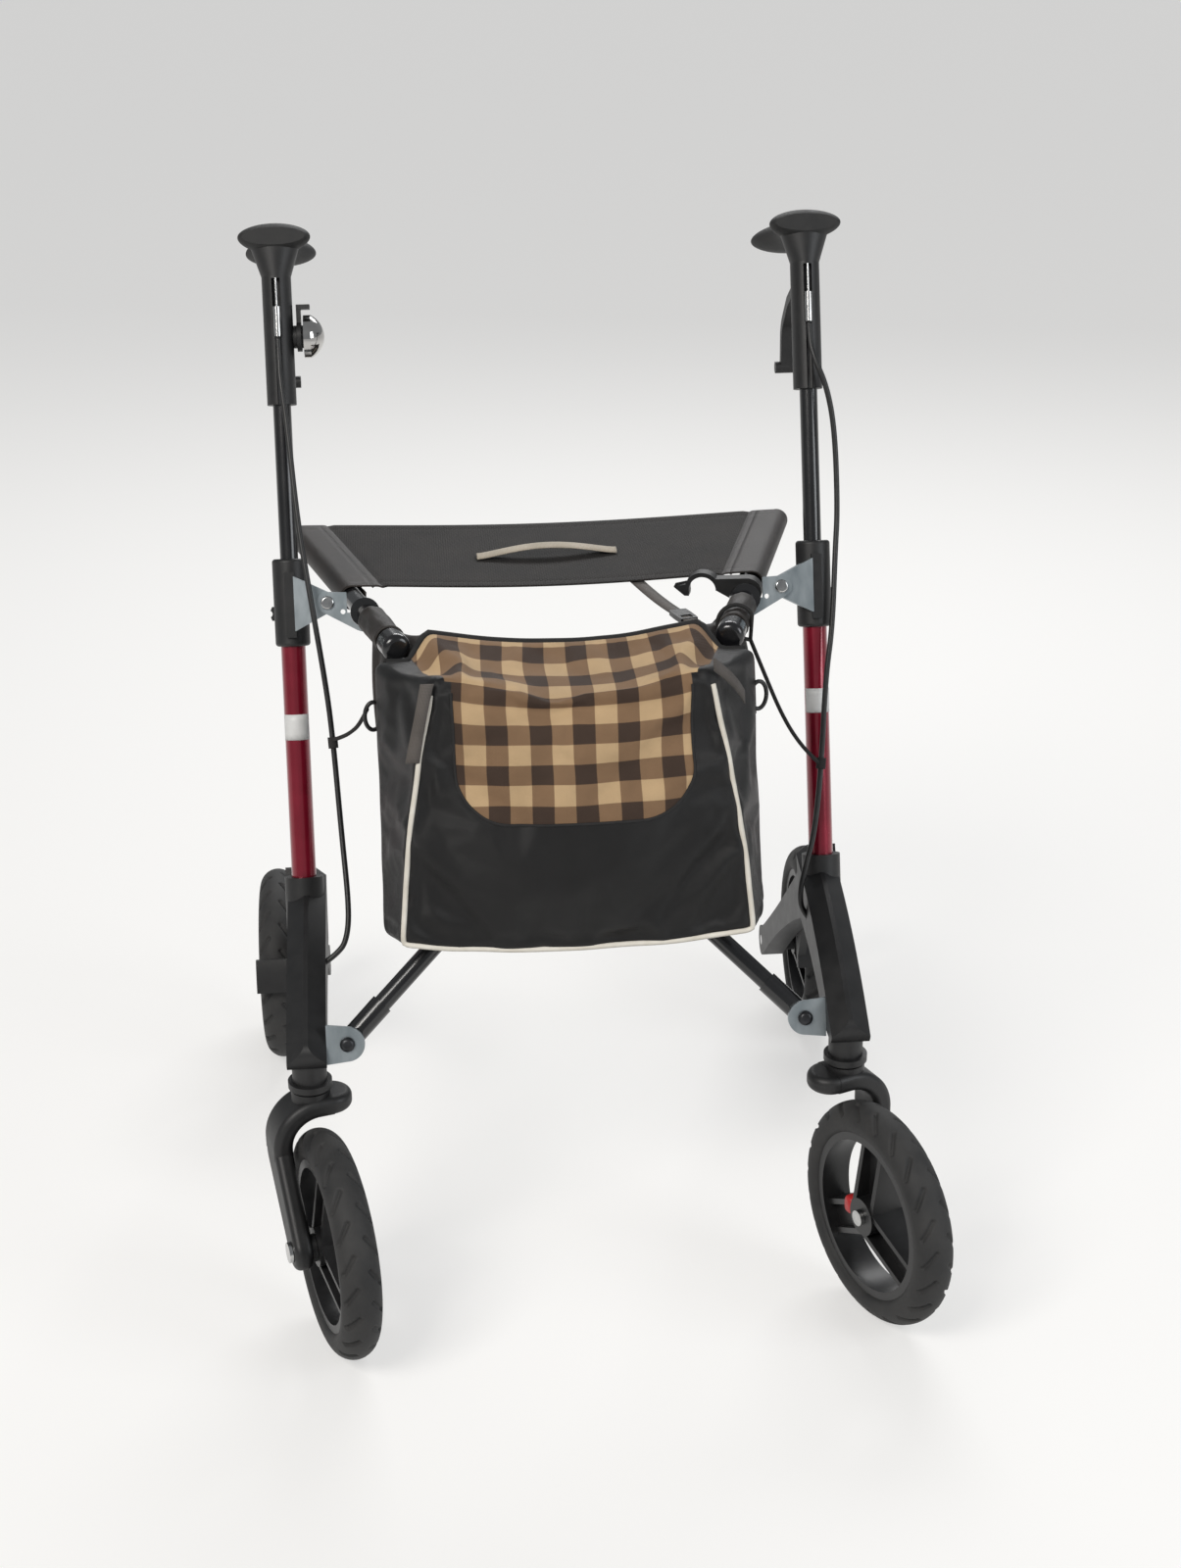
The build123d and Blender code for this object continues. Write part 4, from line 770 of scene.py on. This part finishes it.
def rounded(side, low, back):
    """The same three numbers, drawn in along the edges of the box so that these are round."""
    place = Vector((side, 2 * low - 1, 2 * back - 1)) * BAG_HALF
    inner = Vector([max(BAG_ROUND - half, min(half - BAG_ROUND, along)) for along, half in zip(place, BAG_HALF)])
    place = inner + (place - inner).normalized() * BAG_ROUND
    side, low, back = (along / half for along, half in zip(place, BAG_HALF))
    return side, (low + 1) / 2, (back + 1) / 2


def bag_form(side, low, back):
    """Where a point of the bag starts: bellied in front, with a lid that rises between the tubes."""
    place = bag_place(side, low, back)
    middle = max(0.0, 1 - side * side)
    place += FRONT_OUT * BELLY * middle * max(0.0, 4 * low * (1 - low)) * (1 - back) ** 2
    near_foot = smooth_step(0.4, 1, low)
    place += (FRONT_OUT * FOOT_BELLY * (1 - back) ** 2 - Vector((0, 0, FOOT_SAG))) * middle * near_foot
    place.z -= REAR_DROOP * back * near_foot
    near_lid = 1 - smooth_step(0, 0.5, low)
    between_tubes = smooth_step(0.82, 0.70, abs(side)) * back * near_lid
    hollow = 1 - LID_HOLLOW * max(0.0, 1 - (side / 0.72) ** 2)
    place.z += LID_RISE * between_tubes * hollow - LID_DIP * middle * (1 - back) * near_lid
    place.y += LID_SET_BACK * between_tubes
    place.z += CORNER_RISE * smooth_step(0.70, 0.80, abs(side)) * smooth_step(0.4, 1, back) * near_lid
    return place + RUMPLE * noise.noise_vector(place * RUMPLE_PITCH)


# %% Points and faces of the bag
bag_points, bag_shares, bag_faces, bag_regions, lattice = [], [], [], [], {}


def bag_corner(i, j, k):
    """The number of the point at a place of the lattice, made when it is first asked for."""
    if (i, j, k) not in lattice:
        lattice[i, j, k] = len(bag_points)
        bag_shares.append(rounded(2 * i / ACROSS - 1, j / DOWN, k / BACK))
        bag_points.append(bag_form(*bag_shares[-1]))
    return lattice[i, j, k]


bag_sides = {
    "front": (ACROSS, DOWN, lambda a, b: (a, b, 0)),
    "rear": (ACROSS, DOWN, lambda a, b: (ACROSS - a, b, BACK)),
    "lid": (ACROSS, BACK, lambda a, b: (a, 0, BACK - b)),
    "foot": (ACROSS, BACK, lambda a, b: (a, DOWN, b)),
    "right": (DOWN, BACK, lambda a, b: (0, a, b)),
    "left": (DOWN, BACK, lambda a, b: (ACROSS, a, BACK - b)),
}
for region, (count_a, count_b, at) in bag_sides.items():
    for a in range(count_a):
        for b in range(count_b):
            ring = ((a, b), (a, b + 1), (a + 1, b + 1), (a + 1, b))
            bag_faces.append([bag_corner(*at(*place)) for place in ring])
            bag_regions.append(region)
print("bag", len(bag_points), "points")

# %% [markdown]
# Where two brown bands cross the cloth is dark, and where brown crosses sand it is halfway. The panel could
# be a mesh of its own, but two cloths this close would cut through each other, so it is part of the bag's
# material. Its edge is a signed distance in metres, kept in a second UV map, so the seam stays sharp
# however coarse the mesh is.

# %% Cloth coordinates and the edge of the panel
PANEL_HALF, PANEL_TALL, PANEL_ROUND = 0.098, 0.123, 0.044


def panel_edge(x, down):
    """How far a place on the front lies inside the checked panel, in metres."""
    out_x = abs(x) - PANEL_HALF + PANEL_ROUND
    out_y = down - PANEL_TALL + PANEL_ROUND
    outside = math.hypot(max(out_x, 0.0), max(out_y, 0.0)) + min(max(out_x, out_y), 0.0)
    return PANEL_ROUND - outside


def cloth_place(region, side, low, back):
    """Flat coordinates on the cloth, and the distance inside the checked panel."""
    x = bag_place(side, low, back).x
    if region == "front":
        return (x, low * FRONT_TALL), (panel_edge(x, low * FRONT_TALL), 1.0)
    if region == "lid":
        return (x, -back * LID_DEEP), (0.12 * (0.80 - abs(side)) + 0.012 * (1 - back), (1 - back) * LID_DEEP)
    if region == "rear":
        return (x + 1, low * FRONT_TALL), (-1.0, 1.0)
    if region == "foot":
        return (x + 2, back * LID_DEEP), (-1.0, 1.0)
    return (back * LID_DEEP + 3, low * FRONT_TALL), (-1.0, 1.0)


def bag_mesh(points):
    """A smooth mesh of the bag with its two UV maps."""
    mesh = bpy.data.meshes.new("front_bag")
    mesh.from_pydata([tuple(point) for point in points], [], bag_faces)
    mesh.polygons.foreach_set("use_smooth", [True] * len(bag_faces))
    flat = mesh.uv_layers.new(name="cloth")
    edge = mesh.uv_layers.new(name="panel")
    for face, region in zip(mesh.polygons, bag_regions):
        for loop_index in face.loop_indices:
            shares = bag_shares[mesh.loops[loop_index].vertex_index]
            flat.data[loop_index].uv, edge.data[loop_index].uv = cloth_place(region, *shares)
    return mesh


# %% Let the bag hang from its seams
HANG_STEPS = 24
HANG_LIMIT = 0.012
bag = bpy.data.objects.new("front_bag", bag_mesh(bag_points))
scene.collection.objects.link(bag)
held = bag.vertex_groups.new(name="held")
filled = bag.vertex_groups.new(name="filled")
for (i, j, k), index in lattice.items():
    seam = k == 0 and (i in (0, ACROSS) or j == DOWN)
    if k >= BACK - 2 or seam or (j <= 1 and i in (0, 1, ACROSS - 1, ACROSS)) or j == DOWN:
        held.add([index], 1.0, "REPLACE")
    filled.add([index], 1.0 if k == 0 and j > DOWN / 3 else 0.35 if j else 0.0, "REPLACE")
hang = bag.modifiers.new("hang", "CLOTH")
hang_settings = dict(
    vertex_group_mass="held", quality=6, mass=0.004, tension_stiffness=40, compression_stiffness=20,
    shear_stiffness=8, bending_stiffness=0.02, shrink_min=-0.03, use_pressure=True,
    uniform_pressure_force=0.8, vertex_group_pressure="filled",
)
for key, value in hang_settings.items():
    setattr(hang.settings, key, value)
for step in range(1, HANG_STEPS + 1):
    scene.frame_set(step)
hung = bag.evaluated_get(bpy.context.evaluated_depsgraph_get()).to_mesh()
moves = [after.co - before for after, before in zip(hung.vertices, bag_points)]
bag.modifiers.remove(hang)
scene.frame_set(1)
bag_points = [
    place + move * min(1.0, HANG_LIMIT / max(move.length, 1e-9)) for place, move in zip(bag_points, moves)
]
print("the cloth moved", round(1000 * max(move.length for move in moves), 1), "mm")

# %% Creases of the front
CREASE_WIDE = 0.0055
CREASES = (
    ((0.132, 0.118), (0.072, 0.188), 0.0034), ((0.140, 0.150), (0.088, 0.206), 0.0028),
    ((0.098, 0.132), (0.052, 0.170), -0.0022), ((-0.136, 0.196), (-0.082, 0.212), 0.0026),
    ((-0.128, 0.172), (-0.070, 0.186), -0.0016), ((0.020, 0.170), (0.030, 0.205), 0.0016),
)


def crease_height(x, down):
    """How far the creases lift a place on the front, from its flat coordinates."""
    height = 0.0
    for (x0, down0), (x1, down1), rise in CREASES:
        run_x, run_down = x1 - x0, down1 - down0
        length = math.hypot(run_x, run_down)
        along = ((x - x0) * run_x + (down - down0) * run_down) / length ** 2
        beside = ((x - x0) * run_down - (down - down0) * run_x) / length
        lift = rise * math.exp(-((beside / CREASE_WIDE) ** 2))
        height += lift * smooth_step(-0.15, 0.3, along) * smooth_step(1.15, 0.6, along)
    return height


for (i, j, k), index in lattice.items():
    if k == 0 and 0 < i < ACROSS and j < DOWN:
        side, low, back = bag_shares[index]
        bag_points[index] += FRONT_OUT * crease_height(bag_place(side, low, back).x, low * FRONT_TALL)
print("creases", len(CREASES))

# %% Finished bag
depsgraph = bpy.context.evaluated_depsgraph_get
bag.data = bag_mesh(bag_points)
bag.vertex_groups.clear()
smooth = bag.modifiers.new("smooth", "SUBSURF")
smooth.levels = 1
fine_bag = bpy.data.meshes.new_from_object(
    bag.evaluated_get(depsgraph()), preserve_all_data_layers=True, depsgraph=depsgraph()
)
bag.modifiers.remove(smooth)
bag.data = fine_bag
print("fine bag", len(fine_bag.polygons), "faces")

# %% Where the check shows
bag_finish, bag_shader, tree = new_material("bag_cloth")
seam_map = add_node(tree, "ShaderNodeUVMap", uv_map="panel").outputs["UV"]
seam_ways = add_node(tree, "ShaderNodeSeparateXYZ", {"Vector": seam_map}).outputs
shares = []
for way, low, high in (("X", -0.0003, 0.0003), ("Y", 0.006, 0.0066)):
    share = add_node(tree, "ShaderNodeMapRange", {"Value": seam_ways[way], "From Min": low, "From Max": high})
    shares.append(share.outputs["Result"])
checked = maths(tree, "MULTIPLY", *shares)
print("panel", 2 * PANEL_HALF, "m wide")

# %% Bands of the check
BAND, BAND_EDGE = 0.018, 0.05
SAND, BROWN, DARK = (0.56, 0.39, 0.22), (0.24, 0.145, 0.08), (0.055, 0.034, 0.024)
bands = []
for wave in waves(tree, BAND)[0]:
    band = add_node(tree, "ShaderNodeMapRange", {"Value": wave, "From Min": -BAND_EDGE, "From Max": BAND_EDGE})
    bands.append(band.outputs["Result"])
browner = maths(tree, "MULTIPLY", maths(tree, "ADD", *bands), 0.5)
check = colour_ramp(tree, browner, (0, SAND), (1, DARK), (0.5, BROWN))
print("bands", BAND, "m wide")

# %% Cotton set in black nylon
COTTON_PITCH, NYLON_PITCH = 0.0011, 0.0006
place = add_node(tree, "ShaderNodeTexCoord").outputs["Object"]
drift = add_node(tree, "ShaderNodeTexNoise", {"Vector": place, "Scale": 35, "Detail": 6}).outputs["Fac"]
fade = add_node(tree, "ShaderNodeMapRange", {"Value": drift, "To Min": 0.72, "To Max": 1.12}).outputs["Result"]
worn = add_node(tree, "ShaderNodeVectorMath", {"Vector": check, "Scale": fade}, operation="SCALE")
black = colour_ramp(tree, drift, (0, (0.0040, 0.0038, 0.0039)), (1, (0.0105, 0.0100, 0.0102)))
two_cloths = {"Factor": checked, 6: black, 7: worn.outputs["Vector"]}
colour = add_node(tree, "ShaderNodeMix", two_cloths, data_type="RGBA")
rough = add_node(tree, "ShaderNodeMapRange", {"Value": checked, "To Min": 0.38, "To Max": 0.85})
threads = mixed(tree, checked, thread_height(tree, NYLON_PITCH), thread_height(tree, COTTON_PITCH))
weave = add_node(tree, "ShaderNodeBump", {"Height": threads, "Strength": 0.3, "Distance": 0.0004})
feed(tree, bag_shader, {
    "Base Color": colour.outputs[2], "Roughness": rough.outputs["Result"], "Normal": weave.outputs["Normal"],
    "Specular IOR Level": 0.3, "Sheen Weight": 0.05, "Sheen Roughness": 0.45,
})
bag.data.materials.clear()
bag.data.materials.append(bag_finish)
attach(bag, "cloth")
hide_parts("bag")
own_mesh(bag)
print("bag dressed")

# %% [markdown]
# ## Seams and bindings of the bag
# Piping is a thin cord sewn into a seam with a strip of cloth round it. It is a round bead that follows the
# three seams of the front. A black bead goes round the checked panel, and a wider binding closes the lid's
# rear edge. Each follows points of the hung bag, so it stays on the cloth.

# %% Helpers for trims
cream = grained("cream_piping", (0.66, 0.61, 0.52), (0.82, 0.78, 0.70), (0.6, 0.8), 60, 1700, 0.3)
binding_cloth = grained("binding_cloth", (0.008, 0.008, 0.008), (0.018, 0.017, 0.017), (0.7, 0.9), 90, 2400, 0.5)


def on_front(x, down, proud):
    """A place on the front of the hung bag, from its flat coordinates."""
    low = down / FRONT_TALL
    i = (x / bag_place(1, low, 0).x + 1) / 2 * ACROSS
    j = low * DOWN
    i0, j0 = min(int(i), ACROSS - 1), min(int(j), DOWN - 1)
    near = [[bag_points[lattice[i0 + a, j0 + b, 0]] for a in (0, 1)] for b in (0, 1)]
    upper = near[0][0].lerp(near[0][1], i - i0)
    lower = near[1][0].lerp(near[1][1], i - i0)
    return upper.lerp(lower, j - j0) + FRONT_OUT * proud


def bag_trim(name, line, radius, finish):
    """A round bead along a line on the bag, which folds with it."""
    trim = new_piece(name, *tube_form(line, radius, 12), finish, "cloth")
    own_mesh(trim)


# %% Piping
PIPING_R, PIPING_PROUD = 0.0023, 0.001
outline = [(0, j) for j in range(3, DOWN + 1)] + [(i, DOWN) for i in range(1, ACROSS)]
outline += [(ACROSS, j) for j in range(DOWN, 2, -1)]
piping_line = [bag_points[lattice[i, j, 0]] + FRONT_OUT * PIPING_PROUD for i, j in outline]
bag_trim("front_piping", piping_line, PIPING_R, cream)
print("piping", round(line_length(piping_line), 3), "m")

# %% Seam round the checked panel
SEAM_R, SEAM_PROUD = 0.0012, 0.0002
SEAM_START, SEAM_STEPS = 0.012, 110
panel_line = []
straight = PANEL_TALL - PANEL_ROUND
bend = math.pi / 2 * PANEL_ROUND
foot = 2 * (PANEL_HALF - PANEL_ROUND)
panel_way = 2 * straight + 2 * bend + foot
for step in range(SEAM_STEPS + 1):
    way = SEAM_START + (panel_way - 2 * SEAM_START) * step / SEAM_STEPS
    mirrored = way > straight + bend + foot / 2
    if mirrored:
        way = panel_way - way
    if way < straight:
        x, down = -PANEL_HALF, way
    elif way < straight + bend:
        turn = (way - straight) / PANEL_ROUND
        x = -PANEL_HALF + PANEL_ROUND * (1 - math.cos(turn))
        down = straight + PANEL_ROUND * math.sin(turn)
    else:
        x, down = -PANEL_HALF + PANEL_ROUND + way - straight - bend, PANEL_TALL
    panel_line.append(on_front(-x if mirrored else x, down, SEAM_PROUD))
bag_trim("panel_seam", panel_line, SEAM_R, binding_cloth)
print("panel seam", round(line_length(panel_line), 3), "m")

# %% Binding of the lid
BINDING_R = 0.0034
rear_line = [bag_points[lattice[i, 0, BACK]] + Vector((0, 0, 0.0005)) for i in range(2, ACROSS - 1)]
bag_trim("lid_binding", rear_line, BINDING_R, binding_cloth)
print("binding", round(line_length(rear_line), 3), "m")

# %% [markdown]
# ## Sleeves and small parts of the bag
# The bag hangs from two short sleeves, one on each seat tube, and each sleeve turns with its tube. A sleeve is
# a tube of two layers, and noise crumples the outer one: the solver could do it, but on so small a piece the
# noise looks the same and takes no time. Strips of cloth join the sleeves to the bag's rear corners, tabs of
# grey webbing are sewn into its side seams, and a ring on each side holds a tie.

# %% Sleeves on the seat tubes
SLEEVE_FRONT, SLEEVE_REAR = -0.084, -0.028
SLEEVE_LAYERS = ((0.0128, 0.0011), (0.0104, 0.0))
SLEEVE_HEM = 0.0006
rows, around = 28, 40
layer_size = (rows + 1) * around
sleeve_cloth = grained(
    "sleeve_cloth", (0.009, 0.0068, 0.0056), (0.023, 0.0170, 0.0135), (0.5, 0.66), 50, 2600, 0.4
)
for sign, side, body in ((1, "left", "front_brace_tube"), (-1, "right", "rear_brace_tube")):
    points, faces = [], []
    for radius, crumple in SLEEVE_LAYERS:
        for row in range(rows + 1):
            y = SLEEVE_FRONT + (SLEEVE_REAR - SLEEVE_FRONT) * row / rows
            hem = SLEEVE_HEM * math.exp(-((min(row, rows - row) / 2.2) ** 2))
            middle = Vector((sign * tube_x(y), y, SEAT_Z))
            for turn in round_turns(around):
                out = Vector((math.cos(turn), 0, math.sin(turn)))
                spot = Vector((2 * math.cos(turn), 2 * math.sin(turn), 60 * y)) + Vector((3 * sign, 0, 0))
                points.append(middle + out * (radius + crumple * noise.noise(spot) + hem))
    for row in range(rows):
        for step in range(around):
            a, b = row * around + step, row * around + (step + 1) % around
            faces.append((a, a + around, b + around, b))
            faces.append((layer_size + a, layer_size + b, layer_size + b + around, layer_size + a + around))
    for row in (0, rows):
        for step in range(around):
            a, b = row * around + step, row * around + (step + 1) % around
            ring = (a, b, layer_size + b, layer_size + a)
            faces.append(ring if row == 0 else tuple(reversed(ring)))
    sleeve = new_piece(f"{side}_bag_sleeve", points, faces, sleeve_cloth, body)
print("sleeves", 2)

# %% A helper for small pieces of cloth
HANG_T, TAB_T = 0.0016, 0.0012


def strip_of_cloth(name, lines, finish, thickness=HANG_T):
    """A small piece of cloth between lines of places, with flat coordinates measured along its lines."""
    down = [(b[len(b) // 2] - a[len(a) // 2]).length for a, b in zip(lines, lines[1:])]
    flat = []
    for row, line in enumerate(lines):
        flat.append([(line_length(line[:i + 1]), sum(down[:row])) for i in range(len(line))])
    strip = thick_sheet(name, lines, flat, thickness, finish, "cloth")
    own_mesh(strip)


# %% Hangers
HANGER_ROWS, HANGER_STEPS, HANGER_SWAY = 14, 10, 0.002
for sign, side in ((1, "left"), (-1, "right")):
    lines = []
    for row in range(HANGER_ROWS + 1):
        share = row / HANGER_ROWS
        line = []
        for step in range(HANGER_STEPS + 1):
            y = SLEEVE_FRONT + (SLEEVE_REAR - SLEEVE_FRONT) * step / HANGER_STEPS
            upper = Vector((sign * tube_x(y), y, SEAT_Z - 0.0135))
            lower = bag_place(0.985 * sign, 0.03 + 0.2 * step / HANGER_STEPS, 0.97)
            ripple = math.sin(2.4 * step / HANGER_STEPS * math.pi)
            sway = Vector((HANGER_SWAY * sign * math.sin(math.pi * share) * ripple, 0, 0))
            line.append(upper.lerp(lower, share) + sway)
        lines.append(line)
    strip_of_cloth(f"{side}_bag_hanger", lines, sleeve_nylon)
print("hangers", 2)

# %% Side tabs
grey_tape = woven("grey_tape", (0.072, 0.063, 0.057), (0.16, 0.142, 0.128), 0.0012, 0.5, 0.8, 0.12)
TAB_STEPS = 24
right_tab, left_tab = [], []
for row in range(TAB_STEPS + 1):
    share = row / TAB_STEPS
    middle = bag_place(-1, 0.02 + 0.29 * share, 0.0) + Vector((-0.0045, 0, 0))
    middle += FRONT_OUT * (0.0032 + 0.002 * math.sin(5 * share))
    reach = Vector((1, 0, 0)) * (0.0056 - 0.0004 * math.sin(4 * share))
    right_tab.append([middle - reach, middle, middle + reach])
    middle = bag_place(1, 0.15 * share, 0.02 + 0.5 * share)
    middle += Vector((0.0035 + 0.002 * math.sin(math.pi * share), 0, 0.002))
    reach = Vector((0, 0.001, 0.0055))
    left_tab.append([middle + reach, middle, middle - reach])
strip_of_cloth("right_side_tab", right_tab, grey_tape, TAB_T)
strip_of_cloth("left_side_tab", left_tab, grey_tape, TAB_T)
print("side tabs", 2)

# %% Rings for the ties
RING_R, RING_STEPS = 0.0019, 40
ring_places = {"right": Vector((-0.1650, -0.1235, 0.5265)), "left": Vector((0.1650, -0.1270, 0.5330))}
for side, middle in ring_places.items():
    circle = []
    for step in range(RING_STEPS + 1):
        turn = 2 * math.pi * step / RING_STEPS
        spread = Vector((0.0072 * math.cos(turn), 0.0020 * math.cos(turn), 0.0125 * math.sin(turn)))
        circle.append(middle + spread)
    bag_trim(f"{side}_tie_ring", circle, RING_R, satin)
print("rings", 2)

# %% [markdown]
# Each rear corner of the lid is sewn to its sleeve by a three-cornered piece of nylon. A strap of grey webbing
# runs from the left corner to the underside of the seat, through a flat black buckle. These pieces are pulled
# between two ends, so rows of points from one end to the other give their shape without the solver.

# %% Lid gussets
GUSSET_FRONT, GUSSET_REAR, GUSSET_SAG = -0.092, -0.030, 0.005
GUSSET_ROWS, GUSSET_STEPS = 8, 10


def lid_edge(side):
    """A place on the lid's rear edge, side -1 to 1."""
    along = (side + 1) / 2 * ACROSS
    first = min(int(along), ACROSS - 1)
    return bag_points[lattice[first, 0, BACK]].lerp(bag_points[lattice[first + 1, 0, BACK]], along - first)


for sign, side in ((1, "left"), (-1, "right")):
    lines = []
    for row in range(GUSSET_ROWS + 1):
        share = row / GUSSET_ROWS
        line = []
        for step in range(GUSSET_STEPS + 1):
            y = GUSSET_FRONT + (GUSSET_REAR - GUSSET_FRONT) * step / GUSSET_STEPS
            upper = Vector((sign * (tube_x(y) - 0.0108), y, SEAT_Z - 0.003))
            lower = lid_edge(sign * (0.82 - 0.11 * step / GUSSET_STEPS))
            line.append(upper.lerp(lower, share) - Vector((0, 0, GUSSET_SAG * math.sin(math.pi * share))))
        lines.append(line)
    strip_of_cloth(f"{side}_lid_gusset", lines, sleeve_nylon)
print("gussets", 2)

# %% Lid strap
WEBBING_HALF, WEBBING_SAG, WEBBING_T = 0.006, 0.003, 0.0014
WEBBING_STEPS = 24
strap_low = lid_edge(0.69) + Vector((0, 0.0005, 0.0012))
strap_far = Vector((0.076, web_low[1] + 0.012, 0))
strap_far.z = seat_top(strap_far.x, strap_far.y) - 0.0024
strap_way = (strap_far - strap_low).normalized()
strap_side = strap_way.cross(Vector((0, 0, 1))).normalized()
lines = []
for row in range(WEBBING_STEPS + 1):
    sag = Vector((0, 0, WEBBING_SAG * math.sin(math.pi * row / WEBBING_STEPS)))
    middle = strap_low.lerp(strap_far, row / WEBBING_STEPS) - sag
    lines.append([middle - strap_side * WEBBING_HALF, middle, middle + strap_side * WEBBING_HALF])
strip_of_cloth("lid_strap", lines, grey_tape, WEBBING_T)
print("lid strap", round((strap_far - strap_low).length, 3), "m")

# %% Buckle
BUCKLE_LONG, BUCKLE_WIDE, BUCKLE_THICK = 0.0150, 0.0082, 0.0022
SLOT_LONG, SLOT_WIDE, SLOT_SHIFT = 0.0042, 0.0050, -0.0078
buckle_middle = strap_low.lerp(strap_far, 0.17) - Vector((0, 0, 0.0015))
buckle_up = strap_way.cross(strap_side).normalized()
points, faces = [], []
around = 48
for rise in (-BUCKLE_THICK, BUCKLE_THICK):
    for long, wide, shift in ((BUCKLE_LONG, BUCKLE_WIDE, 0.0), (SLOT_LONG, SLOT_WIDE, SLOT_SHIFT)):
        for turn in round_turns(around):
            flat = max(abs(math.cos(turn)), abs(math.sin(turn))) ** 0.85
            along = shift + long * math.cos(turn) / flat
            across = wide * math.sin(turn) / flat
            points.append(buckle_middle + strap_way * along + strap_side * across + buckle_up * rise)
low_out, low_in, high_out, high_in = 0, around, 2 * around, 3 * around
for a in range(around):
    b = (a + 1) % around
    faces.append((low_out + a, low_in + a, low_in + b, low_out + b))
    faces.append((high_out + a, high_out + b, high_in + b, high_in + a))
    faces.append((low_out + a, low_out + b, high_out + b, high_out + a))
    faces.append((low_in + a, high_in + a, high_in + b, low_in + b))
buckle = new_piece("lid_buckle", points, faces, satin, "cloth")
buckle.data.polygons.foreach_set("use_smooth", [False] * len(faces))
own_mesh(buckle)
print("buckle", 2 * BUCKLE_LONG, "m long")

# %% [markdown]
# ## Small marks on the frame
# A pale band of adhesive film is stuck round the front of each crimson tube. It could be a stripe in the
# tube's material. A thin piece of its own, laid on the tube, keeps a sharp edge from every side.

# %% Bands on the tubes
film = grained("pale_film", (0.70, 0.70, 0.69), (0.82, 0.82, 0.81), (0.35, 0.5), 70, 1500, 0.05)
TUBE_HALF = 0.0111
BAND_OVER, BAND_UNDER = 0.0004, 0.0003
BAND_FIRST, BAND_SWEEP = 200, 140
BAND_ROWS, steps = 4, 28
size = 2 * (steps + 1)
for side, x, low, high in (("right", -HANDLE_X, 488, 511), ("left", HANDLE_X, 494, 516)):
    points, faces = [], []
    for row in range(BAND_ROWS + 1):
        along = low + (high - low) * row / BAND_ROWS
        for radius in (TUBE_HALF + BAND_OVER, TUBE_HALF - BAND_UNDER):
            for step in range(steps + 1):
                turn = math.radians(BAND_FIRST + BAND_SWEEP * step / steps)
                points.append(upright(x + 1000 * radius * math.cos(turn), 1000 * radius * math.sin(turn), along))
    for row in range(BAND_ROWS):
        for step in range(steps):
            a = row * size + step
            faces.append((a, a + 1, a + size + 1, a + size))
            faces.append((a + steps + 1, a + steps + 1 + size, a + steps + 2 + size, a + steps + 2))
        for step in (0, steps):
            a = row * size + step
            ring = (a, a + size, a + size + steps + 1, a + steps + 1)
            faces.append(ring if step == 0 else tuple(reversed(ring)))
    for row in (0, BAND_ROWS):
        for step in range(steps):
            a = row * size + step
            ring = (a, a + steps + 1, a + steps + 2, a + 1)
            faces.append(ring if row == 0 else tuple(reversed(ring)))
    new_piece(f"{side}_tube_band", points, faces, film, f"{side}_side")
print("bands", 2)
